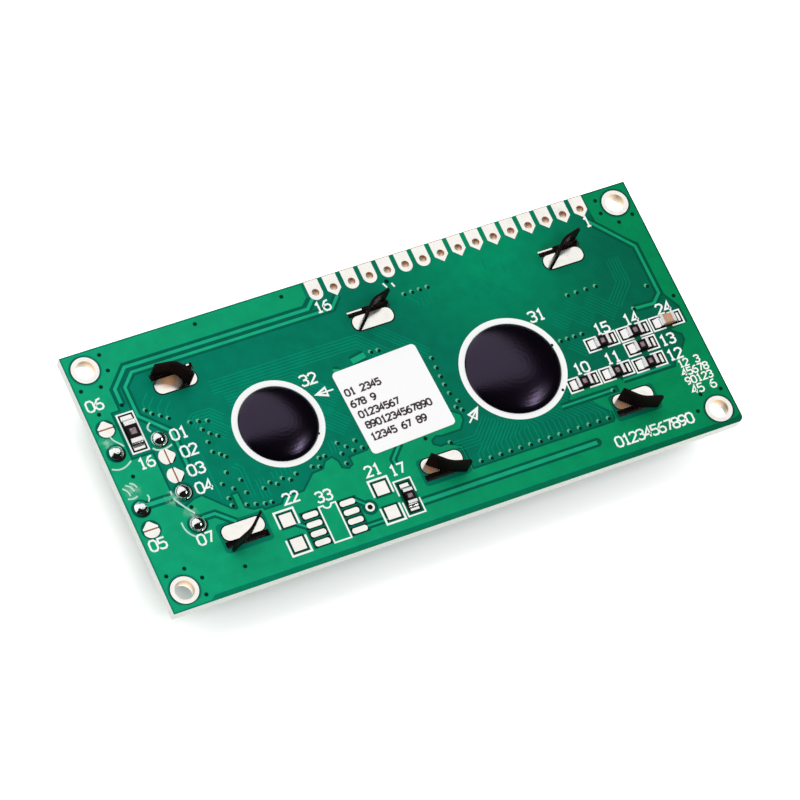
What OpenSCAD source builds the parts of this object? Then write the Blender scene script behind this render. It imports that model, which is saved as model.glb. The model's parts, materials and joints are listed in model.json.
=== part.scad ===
// Character LCD module, two-line size: a circuit board with the controller dies
// under epoxy on its back, and a display clamped to its front by a sheet bezel.
// The board lies face down: +Z points away from the display, towards the
// component side. The origin is the middle of the bezel's front face.

/* [Circuit board] */
// Length of the board
board_l = 80; // [78:0.5:90]
// Width of the board
board_w = 36; // [35.5:0.5:42]
// Thickness of the board
board_t = 1.6; // [1:0.1:2]
// Radius of the one corner that is rounded
board_corner_r = 0.8; // [0.3:0.1:1.5]
// Thickness of the tinned copper pads
pad_t = 0.05; // [0.03:0.01:0.1]
// Thickness of the copper lining in the plated holes
lining_t = 0.05; // [0.03:0.01:0.1]
// Thickness of the white print
print_t = 0.03; // [0.02:0.01:0.05]
// Width of the printed lines
print_line = 0.2; // [0.15:0.01:0.3]

/* [Mounting holes] */
// Bore of the four mounting holes
hole_d = 2.5; // [2:0.1:3]
// Diameter of the tinned ring around each hole
ring_d = 3.6; // [3.4:0.1:4]
// Distance from a hole's axis to the board's short edge
hole_inset_x = 2.5; // [2.2:0.1:3]
// Distance from a hole's axis to the board's long edge
hole_inset_y = 2.5; // [2.2:0.1:3]

/* [Header] */
// Number of header holes
pin_count = 16; // [14:1:16]
// Distance from one header hole to the next
pin_pitch = 2.54; // [2.5:0.01:2.6]
// Bore of a header hole
pin_hole_d = 1; // [0.8:0.05:1.2]
// Distance from the first hole's axis to the board's short edge
pin_inset_x = 7.4; // [6:0.1:8]
// Distance from the row of holes to the board's long edge
pin_inset_y = 1.85; // [1.5:0.05:2.2]
// Width of a header pad
pin_pad_w = 1.9; // [1.6:0.05:2]
// Length of a header pad from the board's edge inwards
pin_pad_l = 2.9; // [2.8:0.05:3.4]

/* [Bezel] */
// Length of the bezel
bezel_l = 71.2; // [70:0.1:72.5]
// Width of the bezel
bezel_w = 23.8; // [23.4:0.1:24.6]
// Thickness of the bezel's sheet
bezel_t = 0.35; // [0.3:0.05:0.5]
// Outer radius of the bends round the front face
bend_r = 0.7; // [0.6:0.05:1]
// Length of the display window
window_l = 64.5; // [62:0.1:65.5]
// Width of the display window
window_w = 16.2; // [15:0.1:16.8]
// Radius of the window's corners
window_r = 0.5; // [0.3:0.1:1]
// Width of the slit where two side walls meet
corner_slit = 0.3; // [0.2:0.05:0.5]

/* [Bezel tabs] */
// Distance from one tab to the next
tab_pitch = 27.4; // [26.5:0.1:27.8]
// Width of a tab
tab_w = 5.4; // [5:0.1:5.8]
// Height of a tab above the board
tab_rise = 3; // [2.4:0.1:3.4]
// Width of the neck that a tab is twisted at
neck_w = 1.2; // [1:0.1:1.6]
// Height of the neck above the board
neck_rise = 0.4; // [0.35:0.05:0.5]
// Cut-off at the corners of a tab's head
tab_chamfer = 0.3; // [0.1:0.05:0.5]
// Length of the stretch over which a head is bent
tab_bend_l = 1.6; // [1.2:0.1:2]
// Gap between a tab and the ends of its slot
slot_end_gap = 0.2; // [0.15:0.05:0.3]
// Gap between a tab and the inner side of its slot
slot_inner_gap = 0.12; // [0.1:0.01:0.2]
// Gap between a tab and the outer side of its slot
slot_outer_gap = 0.45; // [0.3:0.05:0.6]
// Length of the solder pad beside a slot
tab_pad_l = 5.6; // [5:0.1:6]
// Width of the solder pad beside a slot
tab_pad_w = 2; // [1.6:0.1:2.2]

/* [Display glass] */
// Thickness of each glass plate
glass_t = 1.1; // [0.7:0.1:1.2]
// Gap between the glass and the bezel's walls
glass_gap = 0.25; // [0.15:0.05:0.4]
// Width of the ledge that the rubber connectors press on
ledge_w = 2.1; // [2:0.05:2.3]
// Thickness of each polariser film
film_t = 0.2; // [0.15:0.05:0.3]
// Margin of the polariser films around the window
film_margin = 0.5; // [0.3:0.1:0.8]
// Width of a rubber connector
rubber_w = 1.6; // [1.4:0.05:1.7]
// Gap from the end of a rubber connector to the end of the glass
rubber_end_gap = 1; // [0.5:0.1:2]

/* [Backlight] */
// Thickness of the light guide
guide_t = 3; // [2:0.1:3.5]
// Thickness of the diffuser film
diffuser_t = 0.2; // [0.1:0.05:0.3]
// Thickness of the reflector film
reflector_t = 0.1; // [0.05:0.05:0.2]
// Thickness of the frame's back wall
frame_back_t = 0.75; // [0.6:0.05:1.2]
// Thickness of the frame's side walls
frame_wall_t = 0.8; // [0.6:0.05:1]
// Clearance around what the frame holds
frame_gap = 0.1; // [0.05:0.01:0.15]
// Thickness of the lamp strip's board
strip_t = 0.6; // [0.4:0.1:0.8]
// Number of lamps on the strip
lamp_count = 3; // [2:1:4]
// Length of a lamp
lamp_l = 2.6; // [2:0.1:3]
// Height of a lamp
lamp_h = 1.4; // [1:0.1:1.8]
// Depth of a lamp
lamp_t = 0.7; // [0.5:0.1:0.9]
// Distance between the two leads
lead_pitch = 7.8; // [6:0.1:9]
// Distance from the leads to the board's short edge
lead_inset = 1.75; // [1.5:0.05:1.9]
// Width of a lead
lead_w = 0.5; // [0.4:0.05:0.6]
// Thickness of a lead
lead_t = 0.3; // [0.25:0.05:0.4]
// Distance from a lead's upright to the frame's end
lead_reach = 0.85; // [0.6:0.05:1]
// Height of a lead's end above the board
lead_rise = 0.9; // [0.8:0.05:1.2]
// Bore of a lead's plated hole
lead_hole_d = 0.8; // [0.75:0.05:1]
// Diameter of the joint that a lead is soldered in
joint_d = 1.9; // [1.6:0.1:2]
// Height of that joint
joint_h = 0.75; // [0.5:0.05:0.8]

/* [Chips under epoxy] */
// Diameter of the large epoxy dome
large_dome_d = 12.6; // [11:0.1:13.5]
// Height of the large epoxy dome
large_dome_h = 1.5; // [1:0.1:2]
// Diameter of the small epoxy dome
small_dome_d = 10.3; // [9:0.1:11]
// Height of the small epoxy dome
small_dome_h = 1.35; // [1:0.1:2]
// Width of the printed ring around a dome
dome_ring_w = 0.78; // [0.6:0.02:1]

/* [Label] */
// Side of the square paper label
label_side = 11.9; // [10:0.1:12.2]
// Thickness of the label
label_t = 0.1; // [0.08:0.01:0.15]
// Radius of the label's corners
label_r = 0.6; // [0.3:0.1:1]
// Angle that the label was stuck on at
label_turn = 2.6; // [0:0.1:3]

/* [Places of the parts] */
// Distance from the board's right edge to the first column of chips
column_inset = 3.5; // [3.3:0.1:4]
// Gap between the outlines of two columns of chips
column_gap = 0.15; // [0.1:0.05:0.4]
// Distance from the fourth column of chips to the middle of the large dome
dome_reach = 7.95; // [7.9:0.05:8.4]
// Distance from the board's middle line down to the upper row of chips
upper_row = 2; // [1.9:0.05:2.1]
// Distance from the board's middle line down to the lower row of chips
lower_row = 6.4; // [6.35:0.05:6.5]
// How much lower the last resistor of the second column lies
end_drop = 0.2; // [0:0.05:0.3]
// Distance from the board's left edge to the column of jumpers
jumper_inset = 7.55; // [7.5:0.05:7.7]
// Distance from the board's left edge to the two jumpers near it
edge_jumper_inset = 1.8; // [1.7:0.05:1.9]
// Distance from the board's left edge to the large resistor
large_chip_inset = 4.8; // [4.6:0.1:5]

/* [Chip resistors and capacitor] */
// Length of a small chip
chip_l = 2; // [1.8:0.05:2.1]
// Width of a small chip
chip_w = 1.25; // [1.1:0.05:1.3]
// Height of a resistor
resistor_h = 0.5; // [0.4:0.05:0.6]
// Height of the capacitor
capacitor_h = 0.85; // [0.6:0.05:1.1]
// Length of the large resistor
large_chip_l = 3; // [2.8:0.05:3.2]
// Width of the large resistor
large_chip_w = 1.55; // [1.4:0.05:1.6]
// Length of the metal end of a chip
chip_end_l = 0.35; // [0.25:0.05:0.4]
// How far the metal end stands proud of the body
chip_end_proud = 0.03; // [0.02:0.01:0.05]
// Length of a chip's pad beyond the chip
chip_pad_out = 0.95; // [0.8:0.05:1]
// Length of a chip's pad under the chip
chip_pad_in = 0.3; // [0.2:0.05:0.4]
// How far a chip's pads stand out past its sides
pad_margin = 0.05; // [0:0.05:0.1]
// Length of the solder fillet at a chip's end
fillet_l = 0.55; // [0.4:0.05:0.7]
// Gap from a chip's pads to its printed outline
outline_gap = 0.15; // [0.12:0.01:0.2]
// The same gap on the one chip with a wide outline
wide_outline_gap = 0.38; // [0.3:0.01:0.45]
// Break in the long sides of a small chip's outline
outline_break = 0.9; // [0.6:0.1:1.2]

/* [Solder jumpers] */
// Diameter of a jumper's split pad
jumper_d = 2; // [1.8:0.1:2.1]
// Gap between the two halves of a split pad
jumper_split = 0.2; // [0.15:0.05:0.3]
// Height of the solder on a bridged jumper
bridge_h = 0.7; // [0.5:0.05:0.9]

/* [Empty places] */
// Side of the square pads of the two missing capacitors
spare_pad = 1.7; // [1.5:0.05:1.8]
// Distance between the two pads of a missing capacitor
spare_pitch = 3.4; // [3.2:0.1:3.6]
// Pitch of the missing memory chip's pads
so_pitch = 1.27; // [1.2:0.01:1.3]
// Distance between that chip's two rows of pads
so_rows = 5.1; // [4.9:0.1:5.4]
// Length of one of those pads
so_pad_l = 2.05; // [1.8:0.05:2.1]
// Width of one of those pads
so_pad_w = 0.75; // [0.6:0.05:0.8]
// Diameter of the test via's ring
via_ring_d = 1.2; // [1:0.1:1.3]
// Bore of the test via
via_d = 0.6; // [0.5:0.05:0.7]

/* [Hidden] */
$fn = 64;
cut = 0.5; // how far a cutting shape runs past the face that it cuts

// Levels of the stack, from the bezel's front face at 0
film_z = bezel_t;
front_glass_z = film_z + film_t;
rear_glass_z = front_glass_z + glass_t;
rear_film_z = rear_glass_z + glass_t;
diffuser_z = rear_film_z + film_t;
guide_z = diffuser_z + diffuser_t;
reflector_z = guide_z + guide_t;
frame_back_z = reflector_z + reflector_t;
board_z = frame_back_z + frame_back_t;
top_z = board_z + board_t;
pad_top_z = top_z + pad_t;

// The board's edges, and places measured from them
right_x = board_l / 2;
left_x = -board_l / 2;
header_y = board_w / 2;
lower_y = -board_w / 2;
pin_1_x = right_x - pin_inset_x;
pin_y = header_y - pin_inset_y;
lead_x = left_x + lead_inset;

// The bezel's inside and the slots for its tabs
bezel_in_l = bezel_l - 2 * bezel_t;
bezel_in_w = bezel_w - 2 * bezel_t;
tab_y = (bezel_w - bezel_t) / 2;
slot_w = bezel_t + slot_inner_gap + slot_outer_gap;
slot_l = tab_w + 2 * slot_end_gap;
slot_y = tab_y + (slot_outer_gap - slot_inner_gap) / 2;
tab_pad_y = slot_y - slot_w / 2 - tab_pad_w / 2;

// Each tab: its place in the row, its side of the board (1 at the header), the way it
// is turned (1 is counter-clockwise), and the angles of its inner and outer halves
TABS = [
  [-1, 1, -1, 56, 7], [0, 1, 1, 48, 14], [1, 1, 1, 47, 14],
  [-1, -1, 1, 42, 22], [0, -1, -1, 42, 16], [1, -1, -1, 44, 16]
];

// The display glass and what presses on it
glass_l = bezel_in_l - 2 * glass_gap;
glass_w = bezel_in_w - 2 * glass_gap;
rear_glass_w = glass_w - 2 * ledge_w;
film_l = window_l + 2 * film_margin;
film_w = window_w + 2 * film_margin;
rubber_l = glass_l - 2 * rubber_end_gap;
rubber_y = (glass_w - ledge_w) / 2;
rubber_h = board_z - rear_glass_z;

// The backlight, whose lamp end stands out past the bezel on the left
frame_w = rear_glass_w;
frame_z = rear_film_z;
frame_left_x = lead_x + lead_reach;
frame_right_x = glass_l / 2;
frame_in_w = frame_w - 2 * frame_wall_t;
guide_w = frame_in_w - 2 * frame_gap;
guide_right_x = frame_right_x - frame_wall_t - frame_gap;
strip_x = frame_left_x + frame_wall_t;
strip_w = guide_w;
strip_z = guide_z;
lamp_x = strip_x + strip_t;
guide_left_x = lamp_x + lamp_t + frame_gap;
lamp_pitch = guide_w / lamp_count;
lead_z = frame_back_z - lead_t;
lead_under_pad_d = 2 * (lead_reach - frame_gap);

// The chips stand in columns, the first one at the board's right edge
chip_outline_l = chip_l + 2 * (chip_pad_out + outline_gap + print_line);
column_pitch = chip_outline_l + column_gap;
columns = [for (i = [0 : 3]) right_x - column_inset - i * column_pitch];
middle_row = (upper_row + lower_row) / 2;

// Chips: place, quarter turn, whether large, and whether its outline is wide
RESISTORS = [
  [columns[2], -lower_row, 0, false, false],
  [columns[1], -lower_row - end_drop, 0, false, false],
  [columns[1], -middle_row, 0, false, false],
  [columns[1], -upper_row, 0, false, false],
  [columns[2], -upper_row, 0, false, false],
  [left_x + large_chip_inset, 5.85, 90, true, false],
  [-5.9, lower_y + 4.6, 90, false, true],
  [columns[3], -lower_row, 0, false, false]
];
CAPACITOR = [columns[0], -upper_row, 0, false, false];
CHIPS = concat(RESISTORS, [CAPACITOR]);

// Jumpers: place, angle of the split, pointed on one side, bridged with solder
jumper_x = left_x + jumper_inset;
edge_jumper_x = left_x + edge_jumper_inset;
JUMPERS = [
  [jumper_x, 4, 0, false, true], [jumper_x, 1.5, 0, true, false],
  [jumper_x, -1.15, 0, true, false], [jumper_x, -3.55, 0, false, true],
  [jumper_x, -8.05, 0, false, true],
  [edge_jumper_x, -6.85, 90, true, false], [edge_jumper_x, 7.3, 90, true, false]
];

// Empty places near the lower edge
spare_y = lower_y + 5.1;
SPARE_X = [-21.75, -8.8];
spare_outline_w = 2.85;
spare_outline_l = 6.3;
spare_outline_break = 1.6;
spare_line = 1.3 * print_line;
so_x = -16.2;
so_y = lower_y + 4.55;
so_body_w = 2.5;
so_body_l = 5.2;
so_notch_r = 0.45;
via_x = -11.2;
via_y = lower_y + 4.95;

// The domes, and the label halfway between their printed rings
large_dome = [columns[3] - dome_reach, -1.7];
small_dome = [-17.45, 1.05];
large_ring_r = large_dome_d / 2 + dome_ring_w;
small_ring_r = small_dome_d / 2 + dome_ring_w;
label_at = [(large_dome[0] - large_ring_r + small_dome[0] + small_ring_r) / 2, -0.55];
// Each printed arrow: its dome, that dome's ring, its bearing from there and its heading
ARROWS = [[small_dome, small_ring_r, 19.5, 180], [large_dome, large_ring_r, 206.5, 41]];
arrow_gap = 0.26;

board_green = [0.02, 0.5, 0.31];
tin = [0.98, 0.96, 0.88];
solder = [0.8, 0.8, 0.8];
black_paint = [0.07, 0.06, 0.07];
epoxy = [0.13, 0.11, 0.17];
white_print = [0.97, 0.97, 0.97];
film_grey = [0.35, 0.4, 0.35];
clear_glass = [0.75, 0.85, 0.8];
frame_white = [0.95, 0.95, 0.93];

// A plate with four rounded corners, centred on the axis, its lower face at 0
module rounded_plate(l, w, t, r) {
  linear_extrude(t) rounded_square(l, w, r);
}

module rounded_square(l, w, r) {
  square([l - 2 * r, w], center = true);
  square([l, w - 2 * r], center = true);
  for (x = [-1, 1], y = [-1, 1]) {
    translate([x * (l / 2 - r), y * (w / 2 - r)]) circle(r);
  }
}

module hole(d, x, y, z, t) {
  translate([x, y, z - cut]) cylinder(d = d, h = t + 2 * cut);
}

module ring_plate(outer_d, inner_d, t) {
  linear_extrude(t) difference() {
    circle(d = outer_d);
    circle(d = inner_d);
  }
}

// A plated hole: the lining and a round pad on the lower face of the board
module plated_hole(d, pad_d) {
  translate([0, 0, board_z]) ring_plate(d, d - 2 * lining_t, board_t);
  translate([0, 0, board_z - pad_t]) ring_plate(pad_d, d - 2 * lining_t, pad_t);
}

module at_mounting_holes() {
  for (x = [left_x + hole_inset_x, right_x - hole_inset_x]) {
    for (y = [lower_y + hole_inset_y, header_y - hole_inset_y]) {
      translate([x, y, 0]) children();
    }
  }
}

module at_tabs() {
  for (tab = TABS) translate([tab[0] * tab_pitch, tab[1] * slot_y, 0]) children();
}

module at_chips() {
  for (chip = CHIPS) translate([chip[0], chip[1], 0]) rotate(chip[2]) children();
}

function chip_size(chip) = chip[3] ? [large_chip_l, large_chip_w] : [chip_l, chip_w];
function pin_x(i) = pin_1_x - i * pin_pitch;
function chip_outline_gap(chip) = chip[4] ? wide_outline_gap : outline_gap;
function arrow_tip(a) = a[0] + (a[1] + arrow_gap) * [cos(a[2]), sin(a[2])];

// The laminate, with every hole drilled at the size of its lining
module pcb() {
  color(board_green) difference() {
    translate([0, 0, board_z]) board_blank();
    at_mounting_holes() hole(hole_d + 2 * lining_t, 0, 0, board_z, board_t);
    for (i = [0 : pin_count - 1]) {
      hole(pin_hole_d + 2 * lining_t, pin_x(i), pin_y, board_z, board_t);
    }
    for (side = [-1, 1]) {
      hole(lead_hole_d + 2 * lining_t, lead_x, side * lead_pitch / 2, board_z, board_t);
    }
    hole(via_d, via_x, via_y, board_z, board_t);
    at_tabs() translate([-slot_l / 2, -slot_w / 2, board_z - cut]) {
      cube([slot_l, slot_w, board_t + 2 * cut]);
    }
  }
}

module board_blank() {
  linear_extrude(board_t) {
    translate([left_x, lower_y + board_corner_r]) square([board_l, board_w - board_corner_r]);
    translate([left_x, lower_y]) square([board_l - board_corner_r, board_w]);
    translate([right_x - board_corner_r, lower_y + board_corner_r]) circle(board_corner_r);
  }
}

module mounting_rings() {
  color(tin) at_mounting_holes() {
    plated_hole(hole_d + 2 * lining_t, ring_d);
    translate([0, 0, top_z]) ring_plate(ring_d, hole_d, pad_t);
  }
}

// A header pad runs in from the board's edge and ends round or in a blunt point
module header_pad(pointed) {
  straight_l = pin_pad_l - pin_pad_w / 2;
  translate([-pin_pad_w / 2, -straight_l]) square([pin_pad_w, straight_l]);
  translate([0, -straight_l]) {
    if (pointed) {
      polygon([
        [-pin_pad_w / 2, 0], [pin_pad_w / 2, 0], [pin_pad_w / 2, -pin_pad_w * 0.12],
        [0, -pin_pad_w * 0.6], [-pin_pad_w / 2, -pin_pad_w * 0.12]
      ]);
    } else {
      circle(d = pin_pad_w);
    }
  }
}

module header_pads() {
  color(tin) for (i = [0 : pin_count - 1]) {
    pointed = i < 9 || i == 14;
    translate([pin_x(i), pin_y, 0]) plated_hole(pin_hole_d + 2 * lining_t, pin_pad_w * 0.9);
    difference() {
      translate([pin_x(i), header_y, top_z]) linear_extrude(pad_t) header_pad(pointed);
      hole(pin_hole_d, pin_x(i), pin_y, top_z, pad_t);
    }
  }
}

module tab_pads() {
  color(tin) for (tab = TABS) {
    translate([tab[0] * tab_pitch, tab[1] * tab_pad_y, top_z]) {
      rounded_plate(tab_pad_l, tab_pad_w, pad_t, tab_pad_w * 0.45);
    }
  }
}

// The pads that carry the chips, the pads of the empty places and the test via's ring
module component_pads() {
  color(tin) {
    for (chip = CHIPS) {
      translate([chip[0], chip[1], top_z]) rotate(chip[2]) chip_pads(chip_size(chip));
    }
    for (x = SPARE_X, side = [-1, 1]) {
      translate([x, spare_y + side * spare_pitch / 2, top_z]) {
        linear_extrude(pad_t) square(spare_pad, center = true);
      }
    }
    for (side = [-1, 1], i = [-1.5 : 1 : 1.5]) {
      translate([so_x + side * so_rows / 2, so_y + i * so_pitch, top_z]) {
        rounded_plate(so_pad_l, so_pad_w, pad_t, so_pad_w * 0.45);
      }
    }
    translate([via_x, via_y, top_z]) ring_plate(via_ring_d, via_d, pad_t);
  }
}

module chip_pads(size) {
  pad_l = chip_pad_in + chip_pad_out;
  for (side = [-1, 1]) {
    translate([side * (size[0] / 2 + (chip_pad_out - chip_pad_in) / 2), 0, 0]) {
      linear_extrude(pad_t) square([pad_l, size[1] + 2 * pad_margin], center = true);
    }
  }
}

// A round pad with a gap across its middle, one half of it cut to a blunt point
module split_pad(pointed) {
  r = jumper_d / 2;
  difference() {
    if (pointed) {
      intersection() {
        circle(1.1 * r);
        polygon([
          [-2 * r, r], [0.3 * r, r], [1.1 * r, 0.15 * r],
          [1.1 * r, -0.15 * r], [0.3 * r, -r], [-2 * r, -r]
        ]);
      }
    } else {
      circle(r);
    }
    square([jumper_split, jumper_d + 2 * cut], center = true);
  }
}

module jumper_pads() {
  color(tin) {
    for (j = JUMPERS) {
      translate([j[0], j[1], top_z]) rotate(j[2]) linear_extrude(pad_t) split_pad(j[3]);
    }
    for (side = [-1, 1]) translate([lead_x, side * lead_pitch / 2, 0]) {
      plated_hole(lead_hole_d + 2 * lining_t, lead_under_pad_d);
      translate([0, 0, top_z]) ring_plate(joint_d, lead_hole_d, pad_t);
    }
  }
}

// A printed frame, its inside l by w, with a break in the middle of its long sides
module line_frame(l, w, line, gap) {
  difference() {
    square([l + 2 * line, w + 2 * line], center = true);
    square([l, w], center = true);
    if (gap > 0) square([gap, w + 2 * line + cut], center = true);
  }
}

module so_outline() {
  difference() {
    union() {
      line_frame(so_body_w - 2 * print_line, so_body_l - 2 * print_line, print_line, 0);
      translate([0, so_body_l / 2]) circle(so_notch_r + print_line);
    }
    translate([0, so_body_l / 2]) circle(so_notch_r);
    translate([-so_notch_r - cut, so_body_l / 2]) square([2 * (so_notch_r + cut), 2 * cut]);
  }
}

// A hollow arrow head with a shaft, its tip at the origin and heading along +X
module arrow() {
  head_l = 1.85;
  head_w = 1.5;
  shaft_l = 0.85;
  difference() {
    polygon([[0, 0], [-head_l, head_w / 2], [-head_l, -head_w / 2]]);
    polygon([
      [-3.4 * print_line, 0], [-head_l + print_line, head_w / 2 - 1.9 * print_line],
      [-head_l + print_line, 1.9 * print_line - head_w / 2]
    ]);
  }
  translate([-head_l - shaft_l, -print_line / 2]) square([head_l + shaft_l / 2, print_line]);
}

module board_print() {
  color(white_print) translate([0, 0, top_z]) {
    translate(large_dome) {
      ring_plate(2 * large_ring_r, large_dome_d, print_t);
    }
    translate(small_dome) {
      ring_plate(2 * small_ring_r, small_dome_d, print_t);
    }
    linear_extrude(print_t) {
      for (chip = CHIPS) translate([chip[0], chip[1]]) rotate(chip[2]) {
        line_frame(
          chip_size(chip)[0] + 2 * (chip_pad_out + chip_outline_gap(chip)),
          chip_size(chip)[1] + 2 * (pad_margin + chip_outline_gap(chip)),
          print_line, chip[3] ? 0 : outline_break
        );
      }
      for (x = SPARE_X) translate([x, spare_y]) rotate(90) {
        line_frame(
          spare_outline_l - 2 * spare_line, spare_outline_w - 2 * spare_line,
          spare_line, spare_outline_break
        );
      }
      translate([so_x, so_y]) so_outline();
      for (a = ARROWS) translate(arrow_tip(a)) rotate(a[3]) arrow();
    }
  }
}

// The side view of a pan: straight walls, and a round bend at each end of its floor
module pan_section(w, h, r) {
  translate([-w / 2 + r, 0]) square([w - 2 * r, h]);
  translate([-w / 2, r]) square([w, h - r]);
  for (side = [-1, 1]) translate([side * (w / 2 - r), r]) circle(r);
}

// A block with round bends along the four edges of its floor
module pan_block(l, w, h, r) {
  intersection() {
    translate([-l / 2, 0, 0]) rotate([90, 0, 90]) linear_extrude(l) pan_section(w, h, r);
    translate([0, w / 2, 0]) rotate([90, 0, 0]) linear_extrude(w) pan_section(l, h, r);
  }
}

module bezel() {
  color(black_paint) {
    bezel_pan();
    for (tab = TABS) {
      translate([tab[0] * tab_pitch, tab[1] * tab_y, 0]) rotate(tab[1] > 0 ? 180 : 0) {
        if (tab[2] > 0) {
          bezel_tab(tab[3], tab[4]);
        } else {
          mirror([1, 0, 0]) bezel_tab(tab[3], tab[4]);
        }
      }
    }
  }
}

// The folded pan: a window in front, slits where its walls meet, and a gap in the
// left wall where the backlight's lamp end comes out
module bezel_pan() {
  slit_l = bend_r + bezel_t;
  difference() {
    pan_block(bezel_l, bezel_w, board_z, bend_r);
    translate([0, 0, bezel_t]) {
      pan_block(bezel_in_l, bezel_in_w, board_z, bend_r - bezel_t);
    }
    translate([0, 0, -cut]) rounded_plate(window_l, window_w, bezel_t + 2 * cut, window_r);
    for (x = [-1, 1], y = [-1, 1]) {
      translate([x * (bezel_l / 2 - bezel_t), y * bezel_w / 2, board_z / 2 + bend_r]) {
        cube([corner_slit, 2 * slit_l, board_z], center = true);
      }
    }
    translate([-bezel_l / 2 - cut, -frame_w / 2 - frame_gap, frame_z - frame_gap]) {
      cube([bezel_t + 2 * cut, frame_w + 2 * frame_gap, board_z]);
    }
  }
}

// Heading of a tab's head at the distance s from its neck: straight halves at the
// outer and the inner angle, and a smooth bend between them
function tab_turn(s, inner, outer) =
  outer + (inner - outer) * min(1, max(0, s / tab_bend_l + 0.5));

TAB_STEPS = 6;
tab_bend_step = tab_bend_l / TAB_STEPS;

// Points along the middle of the head, from the neck out to one end
function tab_walk(side, inner, outer, i = 0, at = [0, 0]) =
  let (
    half = tab_bend_step * TAB_STEPS / 2,
    step = i < TAB_STEPS / 2 ? tab_bend_step : tab_w / 2 - half,
    s = side * (i * tab_bend_step + step / 2),
    heading = tab_turn(s, inner, outer),
    next = at + side * step * [cos(heading), sin(heading)]
  )
  i == TAB_STEPS / 2 ? [next] : concat([next], tab_walk(side, inner, outer, i + 1, next));

function reversed(list) = [for (i = [len(list) - 1 : -1 : 0]) list[i]];

// The same line moved sideways by d, square to its own direction
function moved_line(line, d) = [
  for (i = [0 : len(line) - 1])
    let (
      before = line[max(i - 1, 0)],
      after = line[min(i + 1, len(line) - 1)],
      along = (after - before) / norm(after - before)
    )
    line[i] + d * [-along[1], along[0]]
];

// A tab, with its slot along X and the pad on its +Y side. It stands in the slot at full
// width, is twisted at its neck, and its head is bent on over the pad
module bezel_tab(inner, outer) {
  line = concat(
    reversed(tab_walk(-1, inner, outer)), [[0, 0]], tab_walk(1, inner, outer)
  );
  neck_turn = tab_turn(0, inner, outer);
  shoulder_z = top_z - neck_rise / 2;
  neck_z = top_z + neck_rise;
  head_top_z = top_z + tab_rise;
  outer_x = line[0][0] - bezel_t / 2;
  inner_x = line[len(line) - 1][0] + bezel_t / 2;
  translate([-tab_w / 2, -bezel_t / 2, board_z - bezel_t]) {
    cube([tab_w, bezel_t, shoulder_z - board_z + bezel_t]);
  }
  translate([-neck_w / 2, -bezel_t / 2, shoulder_z - bezel_t]) {
    cube([neck_w, bezel_t, top_z - shoulder_z + bezel_t]);
  }
  translate([0, 0, top_z]) {
    linear_extrude(neck_rise, twist = -neck_turn, slices = TAB_STEPS, $fn = TAB_STEPS) {
      square([neck_w, bezel_t], center = true);
    }
  }
  intersection() {
    linear_extrude(head_top_z) {
      polygon(concat(moved_line(line, bezel_t / 2), reversed(moved_line(line, -bezel_t / 2))));
    }
    translate([0, tab_w, 0]) rotate([90, 0, 0]) linear_extrude(2 * tab_w) polygon([
      [-neck_w / 2, neck_z - tab_chamfer / 2], [neck_w / 2, neck_z - tab_chamfer / 2],
      [inner_x - tab_chamfer, pad_top_z], [inner_x, pad_top_z + tab_chamfer],
      [inner_x, head_top_z - tab_chamfer], [inner_x - tab_chamfer, head_top_z],
      [outer_x + tab_chamfer, head_top_z], [outer_x, head_top_z - tab_chamfer],
      [outer_x, pad_top_z + tab_chamfer], [outer_x + tab_chamfer, pad_top_z]
    ]);
  }
}

module block(x0, x1, w, z, t) {
  translate([x0, -w / 2, z]) cube([x1 - x0, w, t]);
}

module front_polariser() {
  color(film_grey) block(-film_l / 2, film_l / 2, film_w, film_z, film_t);
}

module front_glass() {
  color(clear_glass) block(-glass_l / 2, glass_l / 2, glass_w, front_glass_z, glass_t);
}

module rear_glass() {
  color(clear_glass) block(-glass_l / 2, glass_l / 2, rear_glass_w, rear_glass_z, glass_t);
}

module rear_polariser() {
  color(film_grey) block(guide_left_x, guide_right_x, guide_w, rear_film_z, film_t);
}

module rubber_connector(side) {
  color([0.25, 0.24, 0.26]) translate([0, side * rubber_y, 0]) {
    block(-rubber_l / 2, rubber_l / 2, rubber_w, rear_glass_z, rubber_h);
  }
}

module diffuser() {
  color(white_print) block(guide_left_x, guide_right_x, guide_w, diffuser_z, diffuser_t);
}

module light_guide() {
  color([0.85, 0.92, 0.95]) block(guide_left_x, guide_right_x, guide_w, guide_z, guide_t);
}

module reflector() {
  color([0.9, 0.9, 0.92]) block(guide_left_x, guide_right_x, guide_w, reflector_z, reflector_t);
}

// A white tray round the light guide, with a covered end for the lamps and two
// notches in that end for the leads
module backlight_frame() {
  color(frame_white) difference() {
    block(frame_left_x, frame_right_x, frame_w, frame_z, board_z - frame_z);
    block(strip_x, frame_right_x - frame_wall_t, frame_in_w, guide_z, frame_back_z - guide_z);
    block(guide_left_x, frame_right_x - frame_wall_t, frame_in_w, frame_z - cut, 2 * cut + guide_t);
    for (side = [-1, 1]) translate([0, side * lead_pitch / 2, 0]) {
      block(frame_left_x - cut, strip_x + cut, lead_w, lead_z, lead_t);
    }
  }
}

module lamp_strip() {
  color(frame_white) block(strip_x, lamp_x, strip_w, strip_z, lead_z - strip_z);
}

module lamps() {
  lamp_z = (strip_z + lead_z - lamp_h) / 2;
  color([0.98, 0.92, 0.6]) for (i = [0 : lamp_count - 1]) {
    translate([0, (i - (lamp_count - 1) / 2) * lamp_pitch, 0]) {
      block(lamp_x, lamp_x + lamp_t, lamp_l, lamp_z, lamp_h);
    }
  }
}

// A flat lead from the lamp strip, out through the frame's end and up through the board
module backlight_lead(side) {
  color(solder) translate([0, side * lead_pitch / 2, 0]) {
    block(lead_x - lead_t / 2, lamp_x, lead_w, lead_z, lead_t);
    block(lead_x - lead_t / 2, lead_x + lead_t / 2, lead_w, lead_z, top_z + lead_rise - lead_z);
  }
}

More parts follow.
